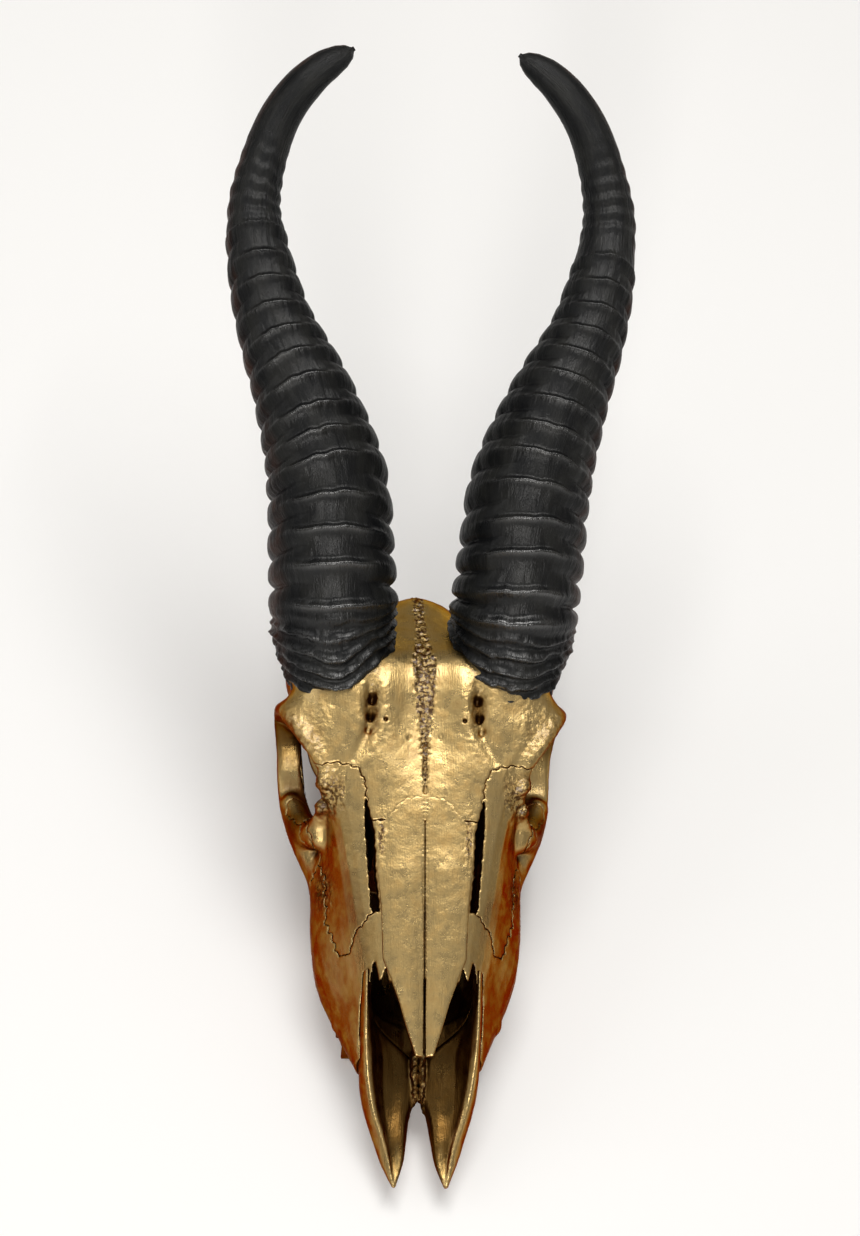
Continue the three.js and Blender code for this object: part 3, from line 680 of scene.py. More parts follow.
def skull_field():
    """The left half of the skull as one body, with its teeth, openings and small features."""
    field = Field()
    field.add(sections(FACE))
    field.add(sections(CRANIUM), blend=1)
    field.add(bar(ARCH), blend=3)
    field.add(sections(BASE_BEAM), blend=3)
    field.add(bar(PTERYGOID), blend=1.5)
    field.add(ellipsoid(*BULLA), blend=2)
    field.add(ellipsoid(*CONDYLE), blend=1.5)
    field.add(bar(PAROCCIPITAL, up=(0, 1, 0)), blend=2.5)
    field.add(bar(PEDICLE, up=(0, -0.6, 0.8)), blend=5)
    field.add(bar(ORBIT_RIM, up=(1, 0, 0), closed=True), blend=2.5)
    field.cut(ellipsoid(*ORBIT), blend=2)
    field.add(bar(ORBIT_FLOOR), blend=3)
    for tooth in CHEEK_TEETH:
        bottom = MOLAR_BOTTOM if tooth[4] == MOLAR_LOBES else PREMOLAR_BOTTOM
        field.add(plan_prism(crown(tooth), bottom, TOOTH_TOP), blend=0.8)
    for before, after in zip(CHEEK_TEETH, CHEEK_TEETH[1:]):
        part_teeth(field, (before[0] + before[2] / 2 + after[0] - after[2] / 2) / 2)
    field.cut(sections(NOSE_OPEN), blend=1)
    field.cut(sections(NOSE_ROOFED), blend=1)
    field.cut(face_prism(NOSE_NOTCH, NOTCH_SPAN), blend=0.3)
    field.cut(face_prism(FISSURE, FISSURE_SPAN, FISSURE_WAVE), blend=0.4)
    for centre, radii, pitch, blend in KNOBS:
        field.add(ellipsoid(centre, radii, pitch), blend)
    for centre, radii, pitch, blend in HOLLOWS:
        field.cut(ellipsoid(centre, radii, pitch), blend)
    field.cut(bar(BROW_GROOVE), blend=2.5)
    field.cut(ellipsoid(*FORAMEN), blend=1)
    engrave(field, SLOT_LOW, SLOT_HIGH, midline_slot, SLOT_DEPTH)
    np.maximum(field.d, TABLE_CLEARANCE - Z, out=field.d)
    return field


def bone_regions():
    """The region of each bone on the left side, in the order in which they are parted from the skull."""
    return {
        "zygomatic": side_prism(ZYGOMATIC_SIDE, zygomatic_inner, EDGE_WAVE),
        "lacrimal": face_prism(LACRIMAL, LACRIMAL_SPAN, EDGE_WAVE),
        "maxilla": side_prism(MAXILLA_SIDE, 0, EDGE_WAVE),
    }


def region_values(shape, inset=0.0):
    """A region's distances on the whole grid, far away outside its box. Its edges are moved in by inset."""
    low, high, distance = shape
    block = Block(low, high)
    out = Field().d
    out[block.cut] = distance(block) + inset
    return out


def crop(d):
    """The smallest part of the grid that holds all of d's inside, and where it starts."""
    inside = np.nonzero(d < 0)
    cut = tuple(slice(max(i.min() - 2, 0), i.max() + 3) for i in inside)
    start = [axis[c.start] for axis, c in zip((X, Y, Z), cut)]
    return d[cut], start


# Meshes


def make_mesh(name, verts, faces, material, attributes=None, caps=None):
    """A smooth mesh object from millimetre vertices, with values per vertex for its material.

    faces are quads and caps are triangles. An attribute is one number or one vector per vertex.
    """
    mesh = bpy.data.meshes.new(name)
    verts = (np.asarray(verts) + np.array([0, SHIFT_Y, 0])) / 1000
    faces = np.asarray(faces, np.int32)
    caps = np.zeros((0, 3), np.int32) if caps is None else np.asarray(caps, np.int32)
    corners = np.concatenate([faces.ravel(), caps.ravel()])
    starts = np.concatenate([np.arange(len(faces)) * 4, faces.size + np.arange(len(caps)) * 3])
    mesh.vertices.add(len(verts))
    mesh.vertices.foreach_set("co", verts.astype(np.float32).ravel())
    mesh.loops.add(len(corners))
    mesh.loops.foreach_set("vertex_index", corners)
    mesh.polygons.add(len(starts))
    mesh.polygons.foreach_set("loop_start", starts.astype(np.int32))
    mesh.update(calc_edges=True)
    mesh.polygons.foreach_set("use_smooth", np.ones(len(starts), bool))
    for key, values in (attributes or {}).items():
        values = np.asarray(values, np.float32)
        layer = mesh.attributes.new(key, "FLOAT" if values.ndim == 1 else "FLOAT_VECTOR", "POINT")
        layer.data.foreach_set("value" if values.ndim == 1 else "vector", values.ravel())
    mesh.materials.append(material)
    made = bpy.data.objects.new(name, mesh)
    bpy.context.scene.collection.objects.link(made)
    return made


def vertex_normals(verts, quads):
    """Unit normals of the vertices, each from the quads around it."""
    a, b, c, d = (verts[quads[:, i]] for i in range(4))
    face = np.cross(c - a, d - b)
    out = np.zeros_like(verts)
    for i in range(4):
        np.add.at(out, quads[:, i], face)
    return out / np.maximum(np.linalg.norm(out, axis=1, keepdims=True), 1e-9)


# Where the midline of the forehead is granular: its half width along y
CRUST_Y = [113, 120, 130, 140, 156, 170]
CRUST_HALF_WIDTHS = [0.4, 0.6, 1.2, 3.2, 4.4, 2]

# The edge of the open nose along y
NOSE_RIM_Y = [0, 9.5, 16.5, 24, 32, 42, 52, 66]
NOSE_RIM_X = [8.6, 10.6, 12.4, 15.2, 16.9, 17.9, 18, 16]
NOSE_RIM_Z = [9.8, 12, 14.6, 18.4, 24, 32, 39, 45]

# Noise of the bones as (height, width of a bump, seed): their skin, and the crust's beads and grains
SKIN = ((0.1, 7, 1), (0.05, 2.6, 2), (0.03, 1.3, 3))
BEADS = (0.45, 1.7, 4)
GRAINS = (0.5, 1.05, 5)
CRUST_HEIGHT = 0.75
CRUST_SINK = 0.15
MIDLINE_EXTRA, MIDLINE_REACH = 0.5, 6


def occlusion(d, verts, normals):
    """How shut in each vertex is, from 0 in the open to 1 in a deep hollow."""
    total = 0
    for reach, weight in OCCLUSION:
        free = sample(d, verts + normals * reach)
        total = total + weight * np.clip(1 - free / reach, 0, 1)
    return total


def patch(verts, share=1.0, **places):
    """A soft patch on both sides of the skull. Each axis that bounds it gives its (middle, reach)."""
    for axis, (middle, reach) in places.items():
        values = np.abs(verts[:, 0]) if axis == "x" else verts[:, "xyz".index(axis)]
        share = share * bell(values, middle, reach)
    return share


def disc(y, z, middle, core, reach):
    """A round patch as seen from the side, 1 around its middle."""
    return np.clip(core - np.hypot(y - middle[0], z - middle[1]) / reach, 0, 1)


def crusted(verts):
    """Where the bone is granular, from 0 to 1: the midline, the orbit's rim, the pits and the long gaps."""
    x, y, z = np.abs(verts[:, 0]), verts[:, 1], verts[:, 2]
    band = np.interp(y, CRUST_Y, CRUST_HALF_WIDTHS)
    midline = np.clip(3 * (1.1 - x / band), 0, 1) * rise(y, 112, 116)
    rim = disc(y, z, (117, 62), 1.4, 9) * (x > 26)
    pits = patch(verts, 0.6, x=(17, 4), y=(141, 14))
    root = disc(y, z, (93, 40), 1.2, 9) * (x > 25)
    brow = 0.5 * rise(x, 28, 34) * np.clip(1.4 - np.abs(y - 132) / 11, 0, 1) * (z > 67)
    ridge = rise(x, 3, 2) * rise(y, 46, 42) * (y > 20) * (z < 28)
    gap = patch(verts, x=(14.3, 1.4), y=(99, 8)) * (z > 50)
    return np.maximum.reduce([midline, rim, pits, root, brow, ridge, gap])


def shade_and_dark_patches(verts, normals):
    """Painted shade, from 0 to 1, on the nose's inner walls and floor and in the pits, and darker patches
    behind and below the eye.
    """
    x, y, z = np.abs(verts[:, 0]), verts[:, 1], verts[:, 2]
    rim_x = np.interp(y, NOSE_RIM_Y, NOSE_RIM_X)
    rim_z = np.interp(y, NOSE_RIM_Y, NOSE_RIM_Z)
    inward = np.clip(0.9 - np.sign(verts[:, 0]) * normals[:, 0], 0, 1)
    below = rise(z, rim_z + 1.5, rim_z - 1.5)
    within = rise(x, rim_x - 0.6, rim_x - 2)
    nose = below * within * inward * rise(y, 80, 70) * (z > 9)
    pits = patch(verts, 0.75, x=(17.7, 2.4), y=(138.5, 6.5)) * (z > 70)
    behind_eye = patch(verts, 0.95, y=(148, 9), z=(50, 12)) * (x > 36) * rise(z, 72, 70)
    below_eye = patch(verts, 0.8, y=(117, 8), z=(41, 6)) * (x > 33)
    return np.maximum.reduce([nose, pits, behind_eye, below_eye])


def noise_layer(verts, height, size, seed):
    return height * value_noise(verts, size, seed)


def bone_object(name, d, origin, mirror, whole, material):
    """One bone's mesh with its grain, from distances d on a part of the grid that starts at origin."""
    verts, quads = surface(d, origin)
    verts = relax(verts, quads)
    normals = vertex_normals(verts, quads)
    shut = occlusion(whole, verts, normals)
    if mirror:
        verts = verts * [-1, 1, 1]
        normals = normals * [-1, 1, 1]
        quads = quads[:, ::-1]
    crust = crusted(verts)
    skin = sum(noise_layer(verts, *row) for row in SKIN)
    beads = np.abs(noise_layer(verts, *BEADS)) + noise_layer(verts, *GRAINS)
    middle = 1 + MIDLINE_EXTRA * (np.abs(verts[:, 0]) < MIDLINE_REACH)
    height = skin + CRUST_HEIGHT * crust * middle * (beads - CRUST_SINK)
    verts = verts + normals * height[:, None]
    # The values for the colour: how shut in it is, its crust, and its painted shade and darker patches
    values = {"shut": shut, "crust": crust, "shade_and_patches": shade_and_dark_patches(verts, normals)}
    return make_mesh(name, verts, quads, material, values)


# Horns, in millimetres. Distances run along the centre line from the base

HORN_LINE = [
    (28.5, 160, 69.5),
    (31.3, 185, 97.5),
    (33.6, 205, 114.5),
    (41.6, 227, 129),
    (52.5, 251, 141),
    (58.6, 277, 152.5),
    (58.8, 289, 159),
    (51.5, 310, 173),
    (41, 321, 182),
    (27.5, 328, 188.5),
]
HORN_DISTANCES = [0, 6, 20, 63, 90, 119, 147, 174, 204, 214, 219, 222, 223.5]
HORN_HALF_WIDTHS = [17.2, 18.8, 19.4, 18.8, 15.8, 11.8, 9.5, 7.6, 6.3, 5.3, 4.1, 2.6, 0.8]
HORN_DEPTH_RATIO = 1.07
HORN_FACING = (0, -0.6, 0.8)
HORN_SEEDS = {"left": 40, "right": 70}

# The radius at which noise is laid around the horn
NOISE_RADIUS = 19

# The base: how far it rises on the inner side and narrows on the outer one, and its ragged rim
BASE_MEDIAL_RISE, MEDIAL_RUN = 0.24, 22
BASE_PINCH, PINCH_RUN = 0.13, 12
RIM_HEIGHT, RIM_RUN = 1.3, 4

# How much farther along the horn a ring's front is than its sides, as a share of its half width
SLANT_DISTANCES = [0, 10, 22, 36, 150, 190]
SLANT = [-0.5, -0.25, 0.2, 0.38, 0.35, 0]

# The rings: their crests, their ledges in front as (run, power), and their rounder profile at the sides
RING_CRESTS = {
    "left": [20.5, 27.5, 37, 46.7, 57.8, 67.2, 76, 85, 94, 103, 112, 121, 130, 140],
    "right": [23, 32.7, 42.3, 52.3, 64, 72, 80.2, 90, 99, 108, 117.5, 127, 136.3, 148],
}
RING_HEIGHT = 2.1
RING_FADE = 0.6
RING_SWAY, RING_WAVER = 1.3, 0.45
LEDGE_BELOW, LEDGE_ABOVE = (0.3, 1.1), (0.1, 1.3)
ROLL_HEIGHT, ROLL_SKEW, ROLL_SINK = 1.3, 0.85, 0.3
LIP_HEIGHT = 0.85
LIP_WIDTH = 1.15
LAST_RING, LAST_RUN = 0.55, 9
RIPPLE_HEIGHT, RIPPLE_RATE = 0.22, 1.05

# The crowded ridges below the first ring, with their chips and specks
BASE_RIDGE_PITCH = 3.3
BASE_RIDGE_HEIGHT = 1.3
BASE_SWAY = 2.2
BASE_BLEND = 5
CHIP_HEIGHT, SPECK_HEIGHT = 0.75, 0.35
FLAKE_LIMIT = 2.6
GRIT_HEIGHT = 0.1


def horn_noise(distance, angle, seed, radius, run, size):
    """Noise over the horn, laid around a cylinder of a radius, with its distances divided by run."""
    around = np.stack([np.cos(angle) * radius, np.sin(angle) * radius, distance / run], -1)
    return value_noise(around.reshape(-1, 3), size, seed).reshape(distance.shape)


def slump(value, run, power):
    """A slope that falls from 1 at zero, by about two thirds within run."""
    return np.exp(-((value / run) ** power))


def ring_relief(distance, angle, crests, seed):
    """Height of the rings over the bare horn, and how near each point is to a crest."""
    sway = horn_noise(distance, angle, seed, radius=2.2, run=60, size=1.4)
    waver = horn_noise(distance, angle, seed + 1, radius=6.6, run=60, size=1.1)
    at = distance + RING_SWAY * sway + RING_WAVER * waver
    crests = np.array(crests)
    last = crests[-1]
    after = np.clip(np.searchsorted(crests, at), 1, len(crests) - 1)
    fall = rise(at, crests[after], crests[after - 1])
    ledge = np.maximum(slump(fall, *LEDGE_BELOW), slump(1 - fall, *LEDGE_ABOVE))
    roll = ROLL_HEIGHT * (1 - (1 - np.abs(2 * fall**ROLL_SKEW - 1)) ** 3) - ROLL_SINK
    beside = rise(np.abs(np.sin(angle)), 0.35, 0.9)
    share = ledge * (1 - beside) + roll * beside
    share = np.where(at > last, LAST_RING * rise(at, last + LAST_RUN, last) ** 2, share)
    fade = 1 - RING_FADE * rise(at, crests[0], last)
    lip = bell(np.abs(at[..., None] - crests).min(-1), 0, LIP_WIDTH)
    ripple = RIPPLE_HEIGHT * np.sin(at * RIPPLE_RATE + 2 * sway) * rise(at, 146, 154) * rise(at, 186, 166)
    height = RING_HEIGHT * fade * share * (1 + 0.25 * sway) + LIP_HEIGHT * fade * lip * (1 - beside) + ripple
    return height, lip * fade * (1 - 0.8 * beside)


def base_relief(distance, angle, seed):
    """Height of the crowded, flaky ridges of the horn's lowest part, and how near each point is to one."""
    sway = horn_noise(distance, angle, seed + 3, radius=1.5, run=11, size=1)
    chips = horn_noise(distance, angle, seed + 4, radius=4.8, run=11 / 9, size=1)
    specks = horn_noise(distance, angle, seed + 8, radius=12, run=0.5, size=1)
    phase = (distance + BASE_SWAY * sway) / BASE_RIDGE_PITCH
    tooth = (0.5 + 0.5 * np.sin(2 * math.pi * phase)) ** 1.3
    flakes = (CHIP_HEIGHT * chips + SPECK_HEIGHT * specks) * (0.35 + tooth)
    return np.clip(BASE_RIDGE_HEIGHT * tooth + flakes + 0.25, 0, FLAKE_LIMIT), tooth


def horn_relief(stop, angle, crests, seed):
    """How far the horn stands out from its bare width, and how polished each place is, from 0 to 1."""
    rings, crest = ring_relief(stop, angle, crests, seed)
    flakes, tooth = base_relief(stop, angle, seed)
    blend = rise(stop, crests[0] - BASE_BLEND, crests[0])
    grit = horn_noise(stop, angle, seed + 5, radius=NOISE_RADIUS, run=1 / 0.35, size=1.5)
    grit = GRIT_HEIGHT * grit * np.maximum(rise(stop, 190, 150), 0.15)
    relief = rings * blend + flakes * (1 - blend) + grit
    return relief, crest * blend + 0.6 * tooth * (1 - blend)


def tube_faces(steps, sides):
    """Quads of a tube and the triangles of its ends, whose middles are the last two vertices."""
    i, j = np.meshgrid(np.arange(steps), np.arange(sides), indexing="ij")
    a, b = i * sides + j, i * sides + (j + 1) % sides
    quads = np.stack([a, b, b + sides, a + sides], -1).reshape(-1, 4)
    j = np.arange(sides)
    k = (j + 1) % sides
    last = steps * sides
    base, tip = np.full(sides, last + sides), np.full(sides, last + sides + 1)
    caps = np.concatenate([np.stack([base, k, j], 1), np.stack([tip, last + j, last + k], 1)])
    return quads, caps


def horn_object(side, material):
    """One horn swept along its centre line, with the values for its colour."""
    seed = HORN_SEEDS[side]
    steps, sides = ((560, 240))
    fine = centripetal(HORN_LINE)(np.linspace(0, 1, 2000))
    arc = np.concatenate([[0], np.cumsum(np.linalg.norm(np.diff(fine, axis=0), axis=1))])
    length = arc[-1]

    def on_line(at):
        return np.stack([np.interp(at, arc, fine[:, k]) for k in range(3)], -1)

    # The stops are a little closer together towards the tip
    ease = np.linspace(0, 1, steps + 1)
    stops = length * (ease + 0.05 * np.sin(math.pi * ease) * ease)
    stop, angle = np.meshgrid(stops, np.arange(sides) * 2 * math.pi / sides, indexing="ij")
    front, outward = np.cos(angle), np.sin(angle)
    relief, polish = horn_relief(stop, angle, RING_CRESTS[side], seed)

    width = np.interp(stop, HORN_DISTANCES, HORN_HALF_WIDTHS) + relief * rise(stop, length, length - 10)
    width = width * (1 - BASE_PINCH * rise(stop, PINCH_RUN, 0) * np.maximum(outward, 0))
    slant = np.interp(stop, SLANT_DISTANCES, SLANT) * width
    medial = BASE_MEDIAL_RISE * width * rise(stop, MEDIAL_RUN, 0) * np.where(outward > 0, 0.1, 1.1)
    ragged = horn_noise(stop, angle, seed + 6, radius=NOISE_RADIUS, run=1 / 0.35, size=3)
    rim = np.abs(ragged) * RIM_HEIGHT * rise(stop, RIM_RUN, 0)
    reach = stop + slant * front - medial * outward + rim

    on = np.clip(reach, 0, length)
    along = on_line(np.minimum(on + 0.6, length)) - on_line(np.maximum(on - 0.6, 0))
    along /= np.linalg.norm(along, axis=-1, keepdims=True)
    across = np.cross(along, np.array(HORN_FACING))
    across /= np.linalg.norm(across, axis=-1, keepdims=True)
    face = np.cross(across, along)
    verts = (
        on_line(on)
        + along * (reach - on)[..., None]
        + face * (width * HORN_DEPTH_RATIO * front)[..., None]
        + across * (width * outward)[..., None]
    )
    ends = [verts[0].mean(0), verts[-1].mean(0)]
    verts = np.vstack([verts.reshape(-1, 3), ends])
    quads, caps = tube_faces(steps, sides)

    pad = [0, 0]
    laid = np.stack([NOISE_RADIUS * front, NOISE_RADIUS * outward, stop], -1).reshape(-1, 3)
    values = {
        "crest": np.concatenate([polish.ravel(), pad]),
        "flank": np.concatenate([outward.ravel(), pad]),
        "place": np.vstack([laid, np.zeros((2, 3))]),
    }
    if side == "right":
        verts = verts * [-1, 1, 1]
        quads, caps = quads[:, ::-1], caps[:, ::-1]
    return make_mesh(f"horn_{side}_sheath", verts, quads, material, values, caps)


# Materials


def principled(name, color, roughness, metallic, edge=(1, 1, 1)):
    """A material with its tree and its shader. edge tints what it reflects at grazing angles."""
    material = bpy.data.materials.new(name)
    material.use_nodes = True
    shader = material.node_tree.nodes["Principled BSDF"]
    shader.inputs["Base Color"].default_value = (*color, 1)
    shader.inputs["Roughness"].default_value = roughness
    shader.inputs["Metallic"].default_value = metallic
    shader.inputs["Specular Tint"].default_value = (*edge, 1)
    return material, material.node_tree, shader


PALE_GOLD = (0.52, 0.36, 0.135)
DEEP_GOLD = (0.35, 0.205, 0.055)
# Painted shade and warm reflection of the gold where it faces down or to the side
SIDE_SHADE_COPPER = (0.2, 0.056, 0.014)
# Painted shade inside the nose and in the pits, and darker patches behind and below the eye
OLIVE_GOLD = (0.075, 0.032, 0.0045)
GRAZING_GOLD = (0.52, 0.29, 0.14)
# Painted shade in the hollows, and the brown specks of the crust
SHADE_AND_SPECK_BROWN = (0.07, 0.027, 0.006)
HORN_BLACK = (0.003, 0.0034, 0.004)
HORN_GREY = (0.011, 0.0112, 0.0104)
HORN_RED = (0.04, 0.013, 0.007)

# Noises of the gold, in bumps a metre, and the scale and turn of its brush strokes
BROAD, MOTTLE, SPECKS, GRAIN = 42, 210, 850, 1500
STROKES, STROKE_TURN = (2600, 190, 500), 0.7

# Noises of the horn: what its laid-out places are multiplied by
FIBRES, COARSE, PATCHES, GRIT = (1.4, 1.4, 0.22), (0.5, 0.5, 0.12), (0.12, 0.12, 0.09), (2.4, 2.4, 1.6)


class Nodes:
    """Adds nodes to a material's tree. An input is a socket to link or a plain value."""

    def __init__(self, tree):
        self.tree = tree

    def add(self, kind, inputs=None, **settings):
        node = self.tree.nodes.new(kind)
        for key, value in settings.items():
            setattr(node, key, value)
        for key, value in (inputs or {}).items():
            self.put(node.inputs[key], value)
        return node

    def put(self, socket, value):
        if isinstance(value, bpy.types.NodeSocket):
            self.tree.links.new(value, socket)
        else:
            socket.default_value = value

    def attribute(self, name, output="Fac"):
        return self.add("ShaderNodeAttribute", attribute_name=name).outputs[output]

    def math(self, operation, first, second=0.0):
        return self.add("ShaderNodeMath", {0: first, 1: second}, operation=operation).outputs[0]

    def swing(self, noise, size):
        """A noise made to go from minus half of size to plus half of size."""
        return self.math("MULTIPLY", self.math("SUBTRACT", noise, 0.5), size)

    def vector(self, operation, first, second, output=0):
        return self.add("ShaderNodeVectorMath", {0: first, 1: second}, operation=operation).outputs[output]

    def noise(self, place, scale, detail=3.0, roughness=0.55):
        inputs = {"Vector": place, "Scale": scale, "Detail": detail, "Roughness": roughness}
        return self.add("ShaderNodeTexNoise", inputs).outputs["Fac"]

    def ramp(self, value, low, high, to_low=0.0, to_high=1.0):
        """A smooth step from to_low to to_high while the value goes from low to high."""
        inputs = {"Value": value, "From Min": low, "From Max": high, "To Min": to_low, "To Max": to_high}
        return self.add("ShaderNodeMapRange", inputs, interpolation_type="SMOOTHSTEP").outputs["Result"]

    def mix(self, share, first, second):
        node = self.add("ShaderNodeMix", {"Factor": share}, data_type="RGBA")
        for socket, value in ((node.inputs[6], first), (node.inputs[7], second)):
            self.put(socket, (*value, 1) if isinstance(value, tuple) else value)
        return node.outputs[2]

    def bump(self, height, strength, distance, normal=None):
        inputs = {"Height": height, "Strength": strength, "Distance": distance}
        if normal is not None:
            inputs["Normal"] = normal
        return self.add("ShaderNodeBump", inputs).outputs["Normal"]


def gold_material():
    """Rubbed gold over bone with a fine grain. Pale on top and copper down the sides are painted light, shade
    and warm reflection, and the brown in the hollows is painted shade.
    """
    material, tree, shader = principled("gilded bone", PALE_GOLD, 0.35, 1.0, GRAZING_GOLD)
    nodes = Nodes(tree)
    place = nodes.add("ShaderNodeTexCoord").outputs["Object"]
    along = nodes.add("ShaderNodeSeparateXYZ", {"Vector": place}).outputs["Y"]
    outside = nodes.add("ShaderNodeNewGeometry").outputs["Normal"]
    face_up = (0, -math.sin(FACE_SLOPE), math.cos(FACE_SLOPE))
    facing = nodes.vector("DOT_PRODUCT", outside, face_up, "Value")
    broad = nodes.noise(place, BROAD)
    mottle = nodes.noise(place, MOTTLE, 5, 0.6)
    grain = nodes.noise(place, GRAIN, 3, 0.6)
    shut = nodes.attribute("shut")
    crust = nodes.attribute("crust")
    shade_and_patches = nodes.attribute("shade_and_patches")

    # Painted light: pale gold where the surface faces up along the face, copper as painted shade and warm
    # reflection where it faces down or to the side, and gold all over the braincase
    side = nodes.math("ADD", facing, nodes.swing(broad, 0.5))
    side = nodes.math("ADD", side, nodes.ramp(along, -0.03, -0.005, 0.0, 0.35))
    body = nodes.mix(nodes.ramp(side, 0.46, 0.88), SIDE_SHADE_COPPER, PALE_GOLD)
    body = nodes.mix(nodes.ramp(mottle, 0.42, 0.72, 0.0, 0.55), body, DEEP_GOLD)

    # Painted shade: brown in the hollows, olive inside the nose and in the pits, and olive darker patches
    # behind and below the eye; brown specks in the crust
    deep = nodes.math("ADD", shut, nodes.swing(mottle, 0.25))
    body = nodes.mix(nodes.ramp(deep, 0.34, 0.78), body, SHADE_AND_SPECK_BROWN)
    body = nodes.mix(nodes.ramp(shade_and_patches, 0.1, 0.9, 0.0, 0.9), body, OLIVE_GOLD)
    specks = nodes.ramp(nodes.noise(place, SPECKS, 2), 0.42, 0.56, 0.0, 0.92)
    body = nodes.mix(nodes.math("MULTIPLY", nodes.ramp(crust, 0.25, 0.9), specks), body, SHADE_AND_SPECK_BROWN)
    nodes.put(shader.inputs["Base Color"], body)

    # Duller where it is mottled, shut in or crusted, and glossy on the top of the face
    worn = nodes.math("ADD", nodes.ramp(mottle, 0.3, 0.7, 0.24, 0.42), nodes.math("MULTIPLY", shut, 0.12))
    nodes.put(shader.inputs["Roughness"], nodes.math("ADD", worn, nodes.math("MULTIPLY", crust, 0.06)))
    outside_patches = nodes.ramp(shade_and_patches, 0.0, 0.6, 1.0, 0.0)
    coat = nodes.math("MULTIPLY", nodes.ramp(facing, 0.65, 0.95, 0.0, 0.8), outside_patches)
    nodes.put(shader.inputs["Coat Weight"], coat)
    nodes.put(shader.inputs["Coat Roughness"], 0.28)

    # Brush strokes, grain and mottling in the surface
    turned = {"Vector": place, "Rotation": (0, 0, STROKE_TURN), "Scale": STROKES}
    strokes = nodes.add("ShaderNodeMapping", turned).outputs["Vector"]
    normal = nodes.bump(nodes.noise(strokes, 1.0, 2), 0.5, 0.0002)
    normal = nodes.bump(grain, nodes.ramp(crust, 0.0, 1.0, 0.2, 1.0), 0.0004, normal)
    normal = nodes.bump(mottle, 0.12, 0.0008, normal)
    nodes.put(shader.inputs["Normal"], normal)
    return material


def horn_material():
    """Black horn with fine lengthwise fibres, greyer and shinier on the crests and reddish at its sides."""
    material, tree, shader = principled("black horn", HORN_BLACK, 0.42, 0.0)
    nodes = Nodes(tree)
    place = nodes.attribute("place", "Vector")
    crest = nodes.attribute("crest")
    flank = nodes.attribute("flank")
    fibres = nodes.noise(nodes.vector("MULTIPLY", place, FIBRES), 1.0, 3, 0.65)
    coarse = nodes.noise(nodes.vector("MULTIPLY", place, COARSE), 1.0, 3)
    patches = nodes.noise(nodes.vector("MULTIPLY", place, PATCHES), 1.0, 4)
    grit = nodes.noise(nodes.vector("MULTIPLY", place, GRIT), 1.0, 2)

    body = nodes.mix(nodes.ramp(patches, 0.35, 0.7), HORN_BLACK, HORN_GREY)
    red = nodes.math("MULTIPLY", nodes.ramp(flank, 0.72, 1.0), nodes.ramp(patches, 0.42, 0.62, 0.15, 0.8))
    nodes.put(shader.inputs["Base Color"], nodes.mix(red, body, HORN_RED))

    sheen = nodes.ramp(fibres, 0.3, 0.7, 0.28, 0.44)
    nodes.put(shader.inputs["Roughness"], nodes.math("SUBTRACT", sheen, nodes.math("MULTIPLY", crest, 0.12)))
    beside = nodes.ramp(nodes.math("ABSOLUTE", flank), 0.3, 0.9, 1.0, 0.18)
    shine = nodes.math("MULTIPLY", nodes.ramp(crest, 0.15, 0.95, 0.3, 1.0), beside)
    nodes.put(shader.inputs["Specular IOR Level"], shine)

    normal = nodes.bump(fibres, 0.28, 0.0005)
    normal = nodes.bump(coarse, 0.4, 0.0008, normal)
    normal = nodes.bump(grit, 0.35, 0.0004, normal)
    nodes.put(shader.inputs["Normal"], normal)
    return material


gold = gold_material()
horn_black = horn_material()

# Bones: the distances of each, parted from the skull one after another

field = skull_field()
nasal_field = Field().add(sections([nasal_station(*row) for row in NASAL_STATIONS]))
premaxilla_field = Field().add(sections(PREMAXILLA, half=False))
rest = np.maximum(field.d, -premaxilla_field.d)
premaxilla_field.add(bar(NOSE_RIDGE), blend=1)
whole = np.minimum(field.d, np.minimum(nasal_field.d, premaxilla_field.d))

nasal_region = face_prism(NASAL, NASAL_SPAN, EDGE_WAVE, NASAL_CALM)
rest = np.maximum(rest, -region_values(nasal_region, NASAL_OVERLAP))
paired = {}
for bone, region in bone_regions().items():
    values = region_values(region)
    paired[bone] = np.maximum(rest, values)
    rest = np.maximum(rest, -values)
behind = rise(Y[None, :, None], *NASAL_BLEND)
nasal_top = (1 - behind) * np.minimum(nasal_field.d, field.d) + behind * field.d
paired["nasal"] = np.maximum(nasal_top, region_values(nasal_region))
paired["premaxilla"] = np.maximum(premaxilla_field.d, -X[:, None, None])

objects = {}
for bone, d in paired.items():
    cropped, start = crop(d)
    for side in ("left", "right"):
        name = f"{bone}_{side}"
        objects[name] = bone_object(name + "_bone", cropped, start, side == "right", whole, gold)
both_sides = np.concatenate([rest[:MIDDLE:-1], rest[MIDDLE:]], 0)
objects["cranium"] = bone_object("cranium_bone", both_sides, (-X[-1], Y[0], Z[0]), False, whole, gold)

for name, made in objects.items():
    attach(made, "root")
    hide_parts(name)

for side in ("left", "right"):
    sheath = horn_object(side, horn_black)
    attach(sheath, "root")
    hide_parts(f"horn_{side}")

# Floor, light and camera. Angles are in degrees, the aim and the distance in millimetres

FLOOR_SIZE = 30
FLOOR_COLOR = (0.9, 0.9, 0.9)
WARM, WHITE = (1, 0.98, 0.95), (1, 1, 1)
SKY_LOW, SKY_HIGH = (0.46, 0.41, 0.34), (0.84, 0.83, 0.81)
SKY_STRENGTH = 0.5
CAMERA_AZIMUTH = -9.9
CAMERA_ELEVATION = 55.0
CAMERA_ROLL = 9.6
CAMERA_AIM = (1.0, 165, 94.1)
CAMERA_DISTANCE = 1250
LENS, SENSOR = 111.1, 36

bpy.ops.mesh.primitive_plane_add(size=FLOOR_SIZE, location=(0, 0, 0))
floor = bpy.context.object
floor.name = "studio_floor"
floor_material, _, _ = principled("pale floor", FLOOR_COLOR, 0.9, 0.0)
floor.data.materials.append(floor_material)


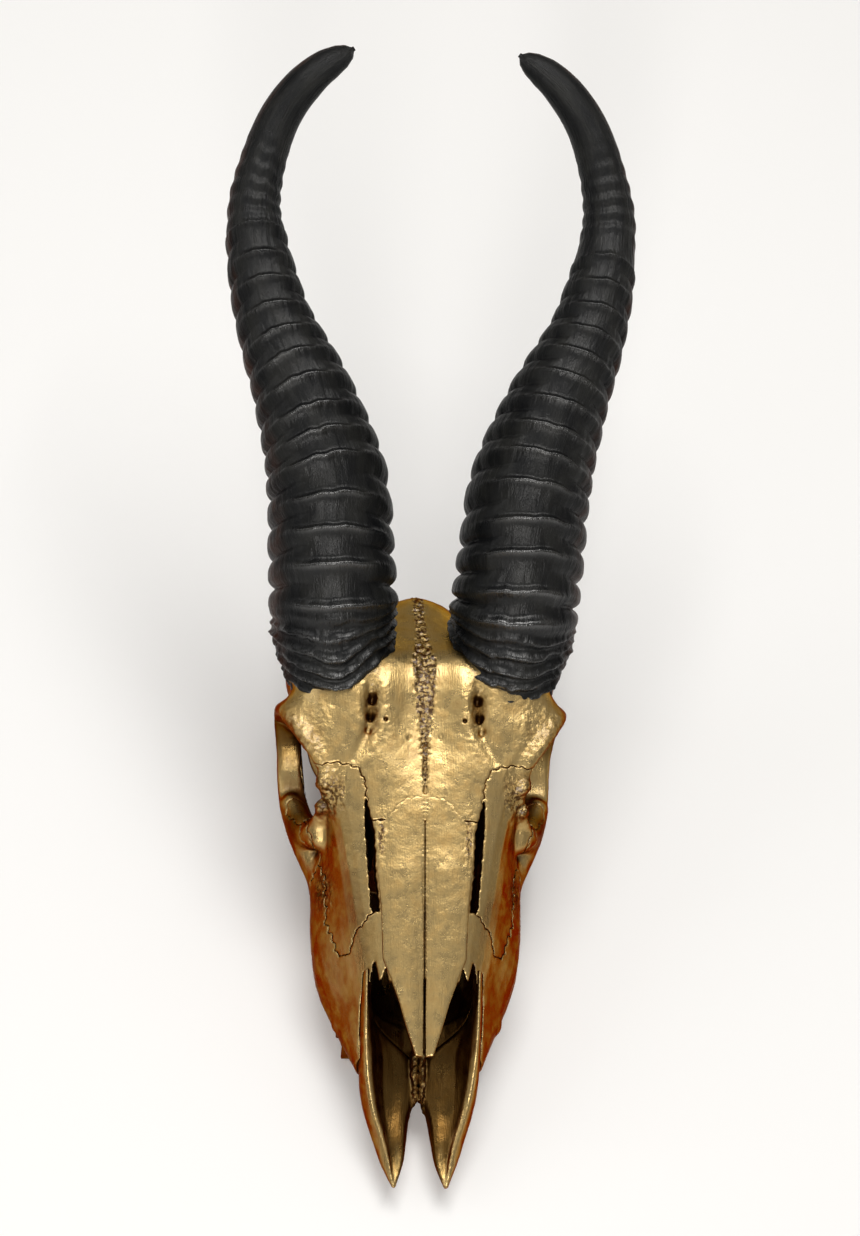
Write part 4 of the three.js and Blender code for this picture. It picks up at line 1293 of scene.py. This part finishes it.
def area_light(name, place, target, size, power, color):
    """A rectangular lamp at a place, turned to its target."""
    lamp = bpy.data.lights.new(name, "AREA")
    lamp.shape = "RECTANGLE"
    lamp.size, lamp.size_y = size
    lamp.energy = power
    lamp.color = color
    made = bpy.data.objects.new(name, lamp)
    made.location = place
    made.rotation_euler = (Vector(target) - Vector(place)).to_track_quat("-Z", "Y").to_euler()
    bpy.context.scene.collection.objects.link(made)


area_light("overhead", (0.08, 0.29, 1.3), (0, 0, 0.05), (0.9, 0.5), 10, WARM)
area_light("below_camera", (-0.15, -1.15, 0.72), (0, 0, 0.1), (0.22, 0.85), 7.5, WARM)
area_light("left_side", (-1.2, 0.1, 0.8), (0, 0, 0.08), (0.25, 1.0), 2, WHITE)

world = bpy.data.worlds.new("studio")
bpy.context.scene.world = world
world.use_nodes = True
sky = Nodes(world.node_tree)
direction = sky.add("ShaderNodeTexCoord").outputs["Generated"]
height = sky.add("ShaderNodeSeparateXYZ", {"Vector": direction}).outputs["Z"]
background = world.node_tree.nodes["Background"]
sky.put(background.inputs["Color"], sky.mix(sky.ramp(height, 0.05, 0.85), SKY_LOW, SKY_HIGH))
sky.put(background.inputs["Strength"], SKY_STRENGTH)

azimuth, elevation, roll = (math.radians(v) for v in (CAMERA_AZIMUTH, CAMERA_ELEVATION, CAMERA_ROLL))
flat_back = Vector((math.sin(azimuth), -math.cos(azimuth), 0))
back = flat_back * math.cos(elevation) + Vector((0, 0, math.sin(elevation)))
level = Vector((math.cos(azimuth), math.sin(azimuth), 0))
upright = back.cross(level)
right = level * math.cos(roll) + upright * math.sin(roll)
up = upright * math.cos(roll) - level * math.sin(roll)
aim = Vector((CAMERA_AIM[0], CAMERA_AIM[1] + SHIFT_Y, CAMERA_AIM[2])) / 1000
turn = Matrix((right, up, back)).transposed().to_4x4()
camera_data = bpy.data.cameras.new("camera")
camera_data.lens = LENS
camera_data.sensor_width = SENSOR
camera = bpy.data.objects.new("camera", camera_data)
camera.matrix_world = Matrix.Translation(aim + back * CAMERA_DISTANCE / 1000) @ turn
bpy.context.scene.collection.objects.link(camera)
bpy.context.scene.camera = camera

bpy.context.scene.view_settings.view_transform = "Standard"
